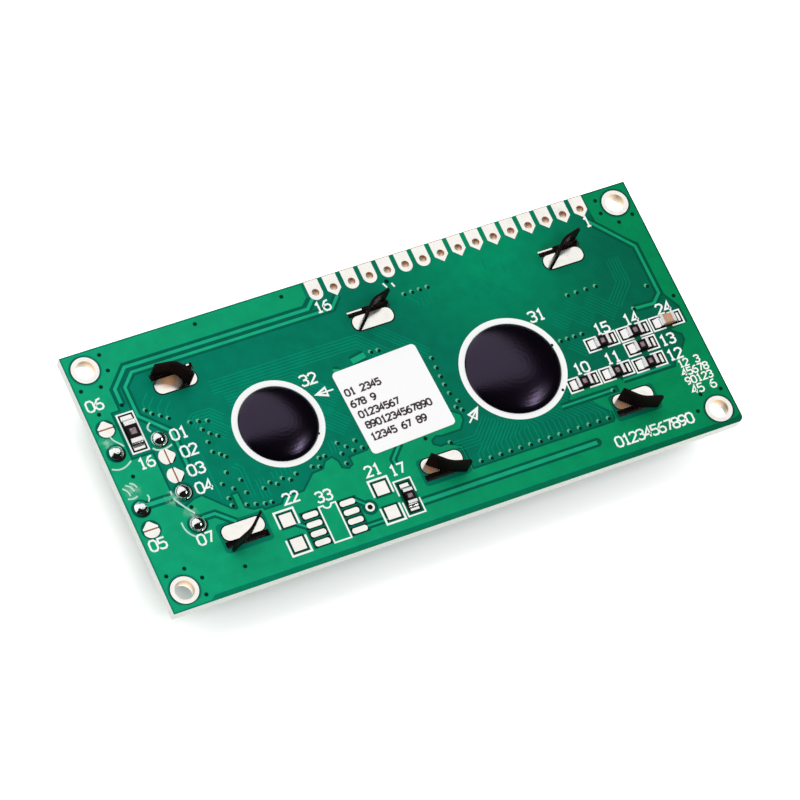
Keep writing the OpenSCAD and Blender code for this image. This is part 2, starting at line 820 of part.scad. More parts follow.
// Solder drawn up a lead in a hollow cone, and the solder that fills its hole
module lead_joint() {
  difference() {
    union() {
      translate([0, 0, board_z]) cylinder(d = lead_hole_d, h = board_t + pad_t);
      translate([0, 0, pad_top_z]) rotate_extrude() polygon([
        [0, 0], [joint_d / 2, 0], [joint_d / 2 - 0.05, joint_h * 0.3],
        [joint_d * 0.33, joint_h * 0.72], [joint_d * 0.2, joint_h], [0, joint_h]
      ]);
    }
    block(-lead_t / 2, lead_t / 2, lead_w, board_z - cut, board_t + lead_rise + 2 * cut);
  }
}

module lead_joints() {
  color(solder) for (side = [-1, 1]) {
    translate([lead_x, side * lead_pitch / 2, 0]) lead_joint();
  }
}

// A dome of revolution: flat on top, and steeper towards its foot
module dome(d, h) {
  steps = 14;
  rotate_extrude($fn = 96) polygon(concat(
    [[0, 0]],
    [for (i = [0 : steps]) let (a = 90 * i / steps) [d / 2 * cos(a), h * pow(sin(a), 1.15)]]
  ));
}

module jumper_bridges() {
  color(solder) for (j = JUMPERS) if (j[4]) {
    translate([j[0], j[1], pad_top_z]) dome(jumper_d * 0.95, bridge_h);
  }
}

module large_epoxy_dome() {
  color(epoxy) translate([large_dome[0], large_dome[1], top_z]) dome(large_dome_d, large_dome_h);
}

module small_epoxy_dome() {
  color(epoxy) translate([small_dome[0], small_dome[1], top_z]) dome(small_dome_d, small_dome_h);
}

module label() {
  color("white") translate([label_at[0], label_at[1], top_z]) rotate(label_turn) {
    rounded_plate(label_side, label_side, label_t, label_r);
  }
}

// A chip: a body between two metal ends that stand a little proud
module chip_part(chip, h) {
  size = chip_size(chip);
  translate([chip[0], chip[1], pad_top_z]) rotate(chip[2]) {
    translate([0, 0, h / 2]) {
      cube([
        size[0] - 2 * chip_end_proud, size[1] - 2 * chip_end_proud, h - 2 * chip_end_proud
      ], center = true);
      for (side = [-1, 1]) translate([side * (size[0] - chip_end_l) / 2, 0, 0]) {
        cube([chip_end_l, size[1], h], center = true);
      }
    }
  }
}

module resistor(i) {
  color([0.1, 0.09, 0.1]) chip_part(RESISTORS[i], resistor_h);
}

module capacitor() {
  color([0.72, 0.57, 0.42]) chip_part(CAPACITOR, capacitor_h);
}

// The hollow slope of solder between a chip's end and its pad
module fillet(w, h) {
  arc_steps = 5;
  slope = [
    for (i = [0 : arc_steps])
      let (a = 90 * i / arc_steps) [fillet_l * (1 - sin(a)), h * (1 - cos(a))]
  ];
  translate([0, w / 2, 0]) rotate([90, 0, 0]) linear_extrude(w) polygon(concat([[0, 0]], slope));
}

module solder_fillets() {
  color(solder) for (chip = CHIPS) {
    size = chip_size(chip);
    h = (chip == CAPACITOR ? capacitor_h : resistor_h) * 0.8;
    translate([chip[0], chip[1], pad_top_z]) rotate(chip[2]) {
      for (turn = [0, 180]) rotate(turn) translate([size[0] / 2, 0, 0]) fillet(size[1], h);
    }
  }
}

pcb();
mounting_rings();
header_pads();
tab_pads();
component_pads();
jumper_pads();
board_print();
bezel();
front_polariser();
front_glass();
rear_glass();
rear_polariser();
rubber_connector(1);  // rubber_connector_top
rubber_connector(-1);  // rubber_connector_bottom
diffuser();
light_guide();
reflector();
backlight_frame();
lamp_strip();
lamps();
backlight_lead(1);  // backlight_lead_1
backlight_lead(-1);  // backlight_lead_2
lead_joints();
jumper_bridges();
large_epoxy_dome();
small_epoxy_dome();
label();
resistor(0);  // resistor_1
resistor(1);  // resistor_2
resistor(2);  // resistor_3
resistor(3);  // resistor_4
resistor(4);  // resistor_5
resistor(5);  // resistor_6
resistor(6);  // resistor_7
resistor(7);  // resistor_8
capacitor();
solder_fillets();
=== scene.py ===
"""A character LCD module lying face down on a pale floor, seen from its component side."""

import itertools
import json
import math
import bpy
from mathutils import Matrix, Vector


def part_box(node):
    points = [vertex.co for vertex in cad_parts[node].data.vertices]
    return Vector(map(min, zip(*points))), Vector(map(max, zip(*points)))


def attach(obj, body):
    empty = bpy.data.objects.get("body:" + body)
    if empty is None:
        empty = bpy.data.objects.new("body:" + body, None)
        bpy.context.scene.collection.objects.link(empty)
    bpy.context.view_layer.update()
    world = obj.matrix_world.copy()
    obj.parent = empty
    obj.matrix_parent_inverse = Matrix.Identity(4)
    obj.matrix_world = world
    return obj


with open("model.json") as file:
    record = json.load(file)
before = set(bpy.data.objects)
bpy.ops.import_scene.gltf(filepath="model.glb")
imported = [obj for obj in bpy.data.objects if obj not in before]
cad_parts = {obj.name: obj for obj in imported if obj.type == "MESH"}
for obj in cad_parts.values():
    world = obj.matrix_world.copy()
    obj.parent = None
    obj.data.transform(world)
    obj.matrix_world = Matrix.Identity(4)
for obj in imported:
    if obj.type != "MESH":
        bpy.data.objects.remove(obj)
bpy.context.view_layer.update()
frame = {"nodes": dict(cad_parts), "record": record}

import bmesh
import bpy
from mathutils import Matrix, Vector
from mathutils.geometry import tessellate_polygon

MM = 0.001
NODES = frame["nodes"]
BOARD_LOW, BOARD_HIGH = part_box("pcb")
TOP = BOARD_HIGH[2]


# Camera ------------------------------------------------------------------------------


def make_camera():
    """A long lens above the board's near left corner, rolled as the board lies in the view."""
    azimuth = math.radians(49.0)
    elevation = math.radians(61.3)
    roll = math.radians(27.07)
    distance = 0.550
    target = Vector((2.11, 2.12, 0)) * MM
    forward = Vector((
        math.sin(azimuth) * math.cos(elevation),
        math.cos(azimuth) * math.cos(elevation),
        -math.sin(elevation),
    ))
    right = Vector((math.cos(azimuth), -math.sin(azimuth), 0))
    up = right.cross(forward)
    rolled_right = right * math.cos(roll) + up * math.sin(roll)
    rolled_up = up * math.cos(roll) - right * math.sin(roll)
    camera = bpy.data.objects.new("camera", bpy.data.cameras.new("camera"))
    camera.data.lens = 195.1
    camera.data.clip_start = 0.01
    camera.data.clip_end = 20
    place = Matrix((rolled_right, rolled_up, -forward)).transposed().to_4x4()
    place.translation = target - forward * distance
    camera.matrix_world = place
    bpy.context.scene.collection.objects.link(camera)
    bpy.context.scene.camera = camera


# Materials ---------------------------------------------------------------------------


class Shader:
    """A node material round one Principled shader, with short calls for its usual nodes."""

    def __init__(self, name, color, roughness, metallic=0.0, **inputs):
        self.material = bpy.data.materials.new(name)
        self.material.use_nodes = True
        self.tree = self.material.node_tree
        self.bsdf = self.tree.nodes["Principled BSDF"]
        self.set("Base Color", (*color, 1.0))
        self.set("Roughness", roughness)
        self.set("Metallic", metallic)
        for key, value in inputs.items():
            self.set(key.replace("_", " "), value)
        self.material.diffuse_color = (*color, 1.0)

    def set(self, socket, value):
        """One of the shader's own inputs takes a plain value."""
        self.bsdf.inputs[socket].default_value = value

    def node(self, kind, **values):
        """A new node with those properties."""
        made = self.tree.nodes.new(kind)
        for key, value in values.items():
            setattr(made, key, value)
        return made

    def link(self, a, b):
        """The socket a feeds the socket b."""
        self.tree.links.new(a, b)

    def place(self):
        """Position in the object's own frame, in metres."""
        return self.node("ShaderNodeTexCoord").outputs["Object"]

    def axes(self, vector):
        """The vector's parts along x, y and z."""
        made = self.node("ShaderNodeSeparateXYZ")
        self.link(vector, made.inputs["Vector"])
        return made.outputs["X"], made.outputs["Y"], made.outputs["Z"]

    def noise(self, size, detail=4.0, roughness=0.55):
        """Noise with features of about that size in metres."""
        made = self.node("ShaderNodeTexNoise")
        made.inputs["Scale"].default_value = 1 / size
        made.inputs["Detail"].default_value = detail
        made.inputs["Roughness"].default_value = roughness
        self.link(self.place(), made.inputs["Vector"])
        return made.outputs["Fac"]

    def ramp(self, fac, *stops):
        """Colours along fac, each stop a position and a colour or a grey."""
        made = self.node("ShaderNodeValToRGB")
        elements = made.color_ramp.elements
        while len(elements) < len(stops):
            elements.new(0.5)
        for element, (position, value) in zip(elements, stops):
            element.position = position
            rgb = (value,) * 3 if isinstance(value, (int, float)) else value
            element.color = (*rgb, 1.0)
        self.link(fac, made.inputs["Fac"])
        return made.outputs["Color"]

    def mix(self, fac, a, b, mode="MIX"):
        """From a at 0 to b at 1, each a colour or a socket."""
        made = self.node("ShaderNodeMix", data_type="RGBA", blend_type=mode)
        for socket, value in ((made.inputs["Factor"], fac), (made.inputs["A"], a), (made.inputs["B"], b)):
            if hasattr(value, "is_linked"):
                self.link(value, socket)
            elif isinstance(value, (int, float)) and socket.type == "VALUE":
                socket.default_value = value
            else:
                socket.default_value = (*value, 1.0)
        return made.outputs["Result"]

    def math(self, operation, a, b=0.0):
        """One operation on two values, each a number or a socket."""
        made = self.node("ShaderNodeMath", operation=operation)
        for socket, value in zip(made.inputs, (a, b)):
            if hasattr(value, "is_linked"):
                self.link(value, socket)
            else:
                socket.default_value = value
        return made.outputs["Value"]

    def bump(self, height, depth):
        """Relief of that depth in metres."""
        made = self.node("ShaderNodeBump")
        made.inputs["Strength"].default_value = 1.0
        made.inputs["Distance"].default_value = depth
        self.link(height, made.inputs["Height"])
        self.link(made.outputs["Normal"], self.bsdf.inputs["Normal"])

    def drive(self, socket, value):
        """The shader's socket takes what a node gives."""
        self.link(value, self.bsdf.inputs[socket])


def by_facing(s, flat, side):
    """The colour flat where a face looks up or down, and the colour side on walls."""
    _, _, up = s.axes(s.node("ShaderNodeNewGeometry").outputs["Normal"])
    level = s.math("ABSOLUTE", up)
    return s.mix(s.ramp(level, (0.45, 0.0), (0.55, 1.0)), side, flat)


def near(s, x, y, radius, softness):
    """1 within the radius of the spot (x, y) and 0 past the softness round it, in millimetres."""
    along, across, _ = s.axes(s.place())
    dx = s.math("SUBTRACT", along, x * MM)
    dy = s.math("SUBTRACT", across, y * MM)
    away = s.math("SQRT", s.math("ADD", s.math("MULTIPLY", dx, dx), s.math("MULTIPLY", dy, dy)))
    reach = radius + softness
    return s.ramp(s.math("DIVIDE", away, reach * MM), (radius / reach, 1.0), (1.0, 0.0))


# Spots, as near() takes them: where solder flux left the lacquer hazy, where the tabs' pads take
# tan painted shade and reflection beside the tabs, and where the board is paler behind the header
FLUX_SPOTS = [
    (-38.3, -1.3, 0.2, 1.1), (-34.0, -3.9, 0.3, 0.9), (-32.7, -6.5, 0.2, 0.9), (-38.9, 5.6, 0.2, 0.8),
]
TAB_SHADE_SPOTS = [
    (-1.75, -11.0, 0.3, 1.1), (25.6, -11.0, 0.3, 1.1), (-28.6, 11.2, 0.3, 1.1), (-27.7, 10.8, 0.3, 1.1),
]
PALE_SPOT = (18, 15, 3.0, 13.0)
# Walls that stand nearer the board's edge than this are its outer walls
OUTER_WALL = 0.5 * MM
FLUX_HAZE = (0.35, 0.62, 0.5)
# Painted shade and reflection of the tabs on their pads, tinted tan
TAB_SHADE_TAN = (0.72, 0.38, 0.19)
FIBRE = (0.97, 0.97, 0.93)
FIBRE_SHADE = (0.86, 0.86, 0.8)
# Painted shade: the dark brown of the walls inside the board's holes and slots
SHADED_HOLE_WALL = (0.09, 0.06, 0.04)


def board_walls(s):
    """Pale laminate on the board's outer walls, and painted shade, a dark brown, on the walls of its holes
    and slots.
    """
    x, y, _ = s.axes(s.place())
    inside = s.math(
        "MULTIPLY",
        s.math("LESS_THAN", s.math("ABSOLUTE", x), BOARD_HIGH[0] - OUTER_WALL),
        s.math("LESS_THAN", s.math("ABSOLUTE", y), BOARD_HIGH[1] - OUTER_WALL),
    )
    return s.mix(inside, s.mix(s.noise(0.3 * MM, 5), FIBRE, FIBRE_SHADE), SHADED_HOLE_WALL)


def solder_mask(name, left, right, walls=False, pale=None):
    """Green lacquer, whose shade runs along the board, hazy where flux has dried on it."""
    s = Shader(name, left, 0.3, Specular_IOR_Level=0.22)
    s.set("Specular Tint", (0.1, 1.0, 0.6, 1.0))
    x, _, _ = s.axes(s.place())
    along = s.math("ADD", s.math("DIVIDE", x, BOARD_HIGH[0] - BOARD_LOW[0]), 0.5)
    base = s.mix(along, left, right)
    if pale:
        base = s.mix(near(s, *PALE_SPOT), base, pale)
    mottle = s.ramp(s.noise(1.8 * MM, 5), (0.3, 0.88), (0.7, 1.1))
    base = s.mix(0.8, base, mottle, "MULTIPLY")
    haze = 0.0
    for spot in FLUX_SPOTS:
        haze = s.math("MAXIMUM", near(s, *spot), haze)
    streaks = s.ramp(s.noise(0.7 * MM, 6, 0.7), (0.42, 0.0), (0.62, 0.75))
    base = s.mix(s.math("MULTIPLY", haze, streaks), base, FLUX_HAZE)
    if walls:
        base = by_facing(s, base, board_walls(s))
    s.drive("Base Color", base)
    s.drive("Roughness", s.ramp(s.noise(0.5 * MM), (0.3, 0.24), (0.7, 0.4)))
    s.bump(s.noise(0.35 * MM, 3), 0.004 * MM)
    return s.material


def tinned(name, color, roughness, wall=None, grain=0.6 * MM, depth=0.004 * MM, stains=()):
    """Bright tin or solder; wall is the colour of its upright walls deep down and at the top, and its paler
    colour deep down is painted light that comes up from below.
    """
    s = Shader(name, color, roughness, metallic=1.0)
    base = s.mix(s.noise(1.1 * MM), color, tuple(c * 0.9 for c in color))
    metal, dulled = 1.0, 0.6
    # Painted shade: tan, less metallic patches on the pads beside the tabs
    for spot in stains:
        shade = near(s, *spot)
        base = s.mix(shade, base, TAB_SHADE_TAN)
        metal = s.math("SUBTRACT", metal, s.math("MULTIPLY", shade, dulled))
    if stains:
        s.drive("Metallic", metal)
    # Painted light: the walls grow paler deep down, as if lit from below through the holes
    if wall:
        deep, high = wall
        _, _, z = s.axes(s.place())
        rise = s.math("DIVIDE", s.math("SUBTRACT", z, BOARD_LOW[2]), TOP - BOARD_LOW[2])
        base = by_facing(s, base, s.ramp(rise, (0.1, deep), (0.75, high)))
    s.drive("Base Color", base)
    s.drive("Roughness", s.ramp(s.noise(grain), (0.3, roughness - 0.06), (0.7, roughness + 0.08)))
    s.bump(s.noise(grain, 3), depth)
    return s.material


def plain(name, color, roughness, grain=0.4 * MM, depth=0.003 * MM, vary=0.06, **inputs):
    """One colour with slight mottling and fine relief."""
    s = Shader(name, color, roughness, **inputs)
    dark = tuple(c * (1 - vary) for c in color)
    s.drive("Base Color", s.mix(s.noise(1.3 * MM), color, dark))
    s.bump(s.noise(grain, 4), depth)
    return s.material


def chip(name, body, middle, turned=False):
    """A chip part with metal ends along x, or along y if turned, and a glazed middle on top."""
    s = Shader(name, body, 0.4, Specular_IOR_Level=0.12)
    x, y, _ = s.axes(s.node("ShaderNodeTexCoord").outputs["Generated"])
    length, width = (y, x) if turned else (x, y)
    out = s.math("ABSOLUTE", s.math("SUBTRACT", length, 0.5))
    across = s.math("ABSOLUTE", s.math("SUBTRACT", width, 0.5))
    on_end = s.ramp(out, (0.3, 0.0), (0.32, 1.0))
    on_glaze = s.math(
        "MULTIPLY",
        s.ramp(out, (0.1, 1.0), (0.16, 0.0)),
        s.ramp(across, (0.2, 1.0), (0.3, 0.0)),
    )
    wear = s.ramp(s.noise(0.25 * MM), (0.35, 0.4), (0.65, 1.0))
    base = s.mix(s.math("MULTIPLY", on_glaze, wear), body, middle)
    s.drive("Base Color", s.mix(on_end, base, (0.96, 0.94, 0.94)))
    s.drive("Metallic", on_end)
    s.drive("Roughness", s.mix(on_end, (0.35,) * 3, (0.25,) * 3))
    s.bump(s.noise(0.2 * MM, 4), 0.006 * MM)
    return s.material


# The lacquer's colours at the board's left and right end
MASKS = {
    "solder_mask": {
        "left": (0.0, 0.2, 0.122), "right": (0.0, 0.108, 0.056), "walls": True, "pale": (0.0, 0.24, 0.11),
    },
    "mask_over_copper": {"left": (0.005, 0.345, 0.165), "right": (0.0, 0.215, 0.073)},
    "mask_over_track": {"left": (0.01, 0.42, 0.22), "right": (0.005, 0.3, 0.14)},
    "mask_over_fine_track": {"left": (0.0, 0.28, 0.17), "right": (0.0, 0.165, 0.085)},
    "mask_over_edge": {"left": (0.0, 0.2, 0.09), "right": (0.0, 0.1, 0.03)},
    "mask_in_gap": {"left": (0.0, 0.11, 0.075), "right": (0.0, 0.075, 0.035)},
    # Painted highlight on the lit side of the raised vias
    "via_rim": {"left": (0.12, 0.5, 0.3), "right": (0.12, 0.42, 0.24)},
}
SMOOTH_TIN = {"color": (1.0, 0.975, 0.92), "roughness": 0.13, "grain": 1.6 * MM, "depth": 0.003 * MM}
# Tin walls, deep down and at the top: the tan at the top, brown in the header holes, is the metal's own
# colour, and the pale colour deep down is painted light from below
TIN_WALL_WITH_PAINTED_LIGHT = ((0.95, 0.88, 0.78), (0.68, 0.42, 0.22))
TINNED = {
    "tinned_copper": {**SMOOTH_TIN, "wall": TIN_WALL_WITH_PAINTED_LIGHT},
    "tinned_holes": {**SMOOTH_TIN, "wall": ((0.95, 0.72, 0.6), (0.4, 0.13, 0.04))},
    "tinned_tab_pads": {**SMOOTH_TIN, "wall": TIN_WALL_WITH_PAINTED_LIGHT, "stains": TAB_SHADE_SPOTS},
    "bare_copper": {"color": (0.5, 0.24, 0.12), "roughness": 0.4},
    "solder": {"color": (0.98, 0.97, 0.98), "roughness": 0.12, "grain": 0.5 * MM, "depth": 0.006 * MM},
}
PLAIN = {
    "via_well": {"color": (0.0, 0.026, 0.016), "roughness": 0.7, "Specular_IOR_Level": 0.05},
    # Near black: bare laminate darkened as painted shade
    "bare_laminate": {"color": (0.006, 0.014, 0.008), "roughness": 0.7, "Specular_IOR_Level": 0.05},
    "white_print": {
        "color": (0.955, 0.975, 0.96), "roughness": 0.55, "vary": 0.02, "Specular_IOR_Level": 0.3,
    },
    "black_paint": {
        "color": (0.009, 0.004, 0.005), "roughness": 0.45, "grain": 0.15 * MM, "depth": 0.004 * MM,
        "Specular_IOR_Level": 0.05,
    },
    "polariser_film": {"color": (0.07, 0.085, 0.06), "roughness": 0.2},
    "display_glass": {"color": (0.55, 0.7, 0.64), "roughness": 0.05, "Transmission_Weight": 0.8},
    "connector_rubber": {"color": (0.03, 0.03, 0.033), "roughness": 0.7},
    "white_film": {"color": (0.85, 0.85, 0.85), "roughness": 0.5},
    "clear_acrylic": {"color": (0.8, 0.87, 0.9), "roughness": 0.1, "Transmission_Weight": 0.7},
    "white_plastic": {"color": (0.84, 0.84, 0.81), "roughness": 0.45},
    "lamp_board": {"color": (0.8, 0.8, 0.74), "roughness": 0.4},
    "lamp_phosphor": {"color": (0.9, 0.76, 0.18), "roughness": 0.4},
    "epoxy": {
        "color": (0.002, 0.001, 0.003), "roughness": 0.21, "grain": 0.22 * MM, "depth": 0.012 * MM,
        "Specular_IOR_Level": 0.64, "Specular_Tint": (0.78, 0.6, 1.0, 1.0),
    },
    "label_paper": {
        "color": (0.975, 0.97, 0.978), "roughness": 0.55, "vary": 0.012, "Specular_IOR_Level": 0.3,
    },
    "flux": {"color": (0.5, 0.78, 0.66), "roughness": 0.4},
    "label_ink": {"color": (0.05, 0.03, 0.035), "roughness": 0.6},
}
RESISTOR = {"body": (0.005, 0.003, 0.004), "middle": (0.42, 0.29, 0.33)}
CHIPS = {
    "chip_resistor": RESISTOR,
    "chip_resistor_turned": {**RESISTOR, "turned": True},
    "chip_capacitor": {"body": (0.5, 0.29, 0.18), "middle": (0.56, 0.34, 0.21)},
}
LOOKS = ((solder_mask, MASKS), (tinned, TINNED), (plain, PLAIN), (chip, CHIPS))
MATERIALS = {name: maker(name, **look) for maker, looks in LOOKS for name, look in looks.items()}
# Nodes that look otherwise than their slot's other nodes
OWN_LOOK = {"header_pads": "tinned_holes", "tab_pads": "tinned_tab_pads"}


def dress_nodes():
    """Every CAD node gets the look of its slot in the record, or its own."""
    for part in frame["record"]["subparts"]:
        node = NODES[part["node"]]
        low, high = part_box(part["node"])
        look = OWN_LOOK.get(part["node"], part["material_slot"])
        if look == "chip_resistor" and high[1] - low[1] > high[0] - low[0]:
            look = "chip_resistor_turned"
        node.data.materials.clear()
        node.data.materials.append(MATERIALS[look])


# Thin layers on the board ------------------------------------------------------------
#
# Places are in millimetres in the board's plane, and heights are above its top.

STEP_SHADE_TOP = 0.006
COPPER_TOP = 0.010
FINE_TOP = 0.012
GAP_TOP = 0.0125
CLEAR_TOP = 0.017
FLUX_TOP = 0.02
TRACK_TOP = 0.024
VIA_TOP = 0.027
INK_TOP = 0.03
PAD_TOP = 0.05
# What is drawn later in a layer stands this much higher or lower, so that no two faces that cross
# lie in one plane
GAP_STEP = 0.0001
FINE_STEP = 0.0002
INK_STEP = 0.001


def add_piece(name, maker, look, slot):
    """A piece from maker(bm), which writes in millimetres above the board's top."""
    bm = bmesh.new()
    maker(bm)
    bmesh.ops.recalc_face_normals(bm, faces=bm.faces)
    for vertex in bm.verts:
        vertex.co = vertex.co * MM + Vector((0, 0, TOP))
    mesh = bpy.data.meshes.new(name)
    bm.to_mesh(mesh)
    bm.free()
    piece = bpy.data.objects.new(name, mesh)
    bpy.context.scene.collection.objects.link(piece)
    mesh.materials.append(MATERIALS[look])
    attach(piece, "root")


def ribbon(bm, points, width, top, low=0.0, bevel=0.25):
    """A flat track along the points, with mitred corners; bevel is how far its sides slope in."""
    sharpest = 0.4
    points = [Vector((x, y)) for x, y in points]
    stations = []
    for i, point in enumerate(points):
        before = points[i] - points[i - 1] if i > 0 else points[1] - points[0]
        after = points[i + 1] - points[i] if i + 1 < len(points) else before
        before, after = before.normalized(), after.normalized()
        side = Vector((-before.y - after.y, before.x + after.x)).normalized()
        reach = width / 2 / max(sharpest, side.dot(Vector((-before.y, before.x))))
        inner = reach * (1 - bevel)
        stations.append([
            bm.verts.new((point.x + side.x * d, point.y + side.y * d, z))
            for d, z in ((reach, low), (inner, top), (-inner, top), (-reach, low))
        ])
    for a, b in zip(stations, stations[1:]):
        for j in range(4):
            bm.faces.new((a[j], a[(j + 1) % 4], b[(j + 1) % 4], b[j]))
    bm.faces.new(stations[0])
    bm.faces.new(stations[-1])


def circle(x, y, radius, steps=32):
    """Points round a circle."""
    turns = (2 * math.pi * i / steps for i in range(steps))
    return [(x + radius * math.cos(turn), y + radius * math.sin(turn)) for turn in turns]


def disc(bm, x, y, radius, top, steps=14):
    """A flat disc on the board."""
    points = circle(x, y, radius, steps)
    lower = [bm.verts.new((*point, 0)) for point in points]
    upper = [bm.verts.new((*point, top)) for point in points]
    bm.faces.new(lower)
    bm.faces.new(upper)
    for i in range(steps):
        j = (i + 1) % steps
        bm.faces.new((lower[i], lower[j], upper[j], upper[i]))


def rounded(x0, y0, x1, y1, r):
    """Points round a rectangle with round corners."""
    steps = 4
    corners = ((x1 - r, y1 - r), (x0 + r, y1 - r), (x0 + r, y0 + r), (x1 - r, y0 + r))
    out = []
    for (cx, cy), start in zip(corners, (0, 90, 180, 270)):
        for i in range(steps + 1):
            turn = math.radians(start + 90 * i / steps)
            out.append((cx + r * math.cos(turn), cy + r * math.sin(turn)))
    return out


def plate(bm, outline, holes, top):
    """A flat plate on the board, with holes that stay clear of its outline and of each other."""
    loops = [[Vector((x, y, 0)) for x, y in loop] for loop in [outline, *holes]]
    flat = [point for loop in loops for point in loop]
    lower = [bm.verts.new((p.x, p.y, 0)) for p in flat]
    upper = [bm.verts.new((p.x, p.y, top)) for p in flat]
    for a, b, c in tessellate_polygon(loops):
        bm.faces.new((upper[a], upper[b], upper[c]))
        bm.faces.new((lower[c], lower[b], lower[a]))
    start = 0
    for loop in loops:
        for i in range(len(loop)):
            j, k = start + i, start + (i + 1) % len(loop)
            bm.faces.new((lower[j], lower[k], upper[k], upper[j]))
        start += len(loop)


def shifted(path, distance):
    """The path moved sideways to its left by the distance, corners kept."""
    sharpest = 0.5
    path = [Vector(p) for p in path]
    out = []
    for i, point in enumerate(path):
        before = (path[i] - path[i - 1] if i > 0 else path[1] - path[0]).normalized()
        after = (path[i + 1] - path[i] if i + 1 < len(path) else path[-1] - path[-2]).normalized()
        side = Vector((-before.y - after.y, before.x + after.x)).normalized()
        reach = distance / max(sharpest, side.dot(Vector((-before.y, before.x))))
        out.append(tuple(point + side * reach))
    return out


def softened(path):
    """The path with its corners cut twice, which reads as a curve."""
    points = [Vector(p) for p in path]
    for _ in range(2):
        cut = [points[0]]
        for a, b in zip(points, points[1:]):
            cut += [a.lerp(b, 0.25), a.lerp(b, 0.75)]
        points = [*cut, points[-1]]
    return points


# What the layers follow on the board
X0, Y0 = (v / MM for v in BOARD_LOW[:2])
X1, Y1 = (v / MM for v in BOARD_HIGH[:2])
MOUNTS = {mount["name"]: mount for mount in frame["record"]["mounts"]}
SPACING_X, SPACING_Y = (MOUNTS["mounting_holes"]["dims"][f"spacing_{axis}_mm"] for axis in "xy")
HOLES = [(x * SPACING_X / 2, y * SPACING_Y / 2) for x, y in ((-1, 1), (1, 1), (-1, -1), (1, -1))]
PAD_1_X = MOUNTS["header_hole_1"]["pos_m"][0] / MM
PAD_16_X = MOUNTS["header_hole_16"]["pos_m"][0] / MM
PADS = 16
PIN_PITCH = (PAD_1_X - PAD_16_X) / (PADS - 1)
TAB_X = (-27.4, 0.0, 27.4)
SLOT_Y1 = 12.35
TEST_VIA = (-11.2, -13.05)
# Pads of the places left empty: two rows of four, and four large squares
ROW_X = (-18.75, -13.65)
ROW_PADS, ROW_PITCH = 4, 1.27
SQUARE_PADS = [(x, y) for x in (-21.75, -8.8) for y in (-11.2, -14.6)]
# Round pads: jumpers closed by solder, jumpers split upright and level, and the backlight's leads
JUMPER_X = -32.45
CLOSED_JUMPERS = [(JUMPER_X, 4.0), (JUMPER_X, -3.55), (JUMPER_X, -8.05)]
UPRIGHT_JUMPERS = [(JUMPER_X, 1.5), (JUMPER_X, -1.15)]
LEVEL_JUMPERS = [(-38.2, 7.3), (-38.2, -6.85)]
LEADS = [(-38.25, 3.9), (-38.25, -3.9)]

# Broad tracks: width and path
LONG_TRACK_END = (20.2, -14.55)
TRACKS = [
    (0.5, [(PAD_16_X - 0.7, 15.5), (-7.4, 14.35), (-32.7, 14.35), (-35.0, 11.95), (-35.0, 9.7)]),
    (0.45, [
        (-3.0, 14.9), (-4.4, 13.45), (-32.1, 13.45), (-33.7, 11.8), (-33.7, 7.7),
        (-30.5, 4.4), (-30.5, -0.6),
    ]),
    (0.45, [(PAD_1_X + 0.1, 14.4), (37.3, 9.0), (37.3, 1.9), (36.0, 0.75), (33.1, 0.9)]),
    (0.62, [(-4.7, -14.55), LONG_TRACK_END]),
    (0.62, [(-37.4, -3.7), (-33.6, -3.7)]),
    (0.45, [(-31.6, -7.45), (-29.9, -7.45), (-27.8, -9.3)]),
    (0.3, [(-20.9, -12.0), (-19.6, -13.0)]),
    (0.3, [(-12.7, -15.25), (-9.6, -15.25)]),
    (0.3, [(-13.2, -11.6), (-12.6, -11.5), (-11.5, -12.6)]),
    (0.35, [(-5.7, -8.8), (-5.7, -8.1), (-4.0, -6.4)]),
    (0.35, [(18.0, -8.6), (25.2, -8.6)]),
    (0.35, [(27.3, -7.8), (34.2, -7.8)]),
    (0.9, [(-5.1, 5.85), (-3.1, 6.2)]),
    (0.5, [(-7.9, 5.5), (-7.1, 5.2)]),
]
# How much wider than its track the bare strip under it is, where copper surrounds it
TRACK_GAP = 0.62

FINE_W, FAN_W = 0.15, 0.18
# Fine tracks: a first path, how many, and the step to the next, to its left where positive
BUNDLES = [
    ([(-23.6, 9.1), (-3.0, 9.1), (3.2, 2.9)], 5, -0.42),
    ([(-22.4, 7.0), (-12.8, 7.0), (-8.2, 2.4)], 9, -0.42),
    ([(-1.2, 8.9), (4.4, 3.3)], 4, 0.42),
    ([(14.6, 12.2), (19.2, 7.6)], 8, -0.42),
    ([(17.0, 13.6), (17.0, 12.1)], 1, 0.4),
    ([(19.3, 12.6), (19.3, 11.0)], 1, 0.4),
    ([(28.4, 4.8), (31.4, 1.8)], 6, -0.42),
    ([(24.9, 4.9), (28.0, 1.8)], 6, -0.42),
    ([(22.2, 4.4), (24.6, 2.0)], 5, -0.42),
    ([(34.3, 8.4), (34.3, 4.4), (31.6, 1.7)], 5, -0.42),
    ([(-11.6, 1.9), (-8.4, -1.3)], 7, -0.42),
    ([(-28.6, 4.6), (-27.3, 5.8), (-24.8, 5.8), (-23.4, 4.4)], 5, -0.42),
    ([(2.4, -8.5), (5.6, -8.5), (7.8, -6.3)], 4, -0.42),
    ([(-25.3, -2.4), (-24.6, -3.1), (-24.6, -6.9)], 2, 0.5),
    ([(-23.3, -4.9), (-23.3, -7.6)], 3, 0.5),
    ([(-25.0, 4.2), (-23.3, 2.5)], 5, -0.42),
    ([(-21.0, -4.6), (-21.0, -5.6)], 5, 0.6),
    ([(-28.3, 1.0), (-28.3, -6.0)], 1, 0.5),
    ([(22.4, -1.3), (24.4, -3.3)], 5, 0.42),
    ([(-12.6, -3.2), (-12.6, -4.9)], 3, 0.5),
    ([(5.3, 12.0), (6.5, 10.8), (6.5, 10.1)], 4, 0.62),
]
# The fan below the large dome: two tracks from each via, drawn together about FAN_X
FAN_PITCH = 1.4
FAN_TWIN = 0.62
FAN_X = 13.4
FAN_SQUEEZE = 0.52
FAN_TOP_Y = -7.1
FAN_VIAS = [(4.9 + FAN_PITCH * i, -12.0) for i in range(14)]
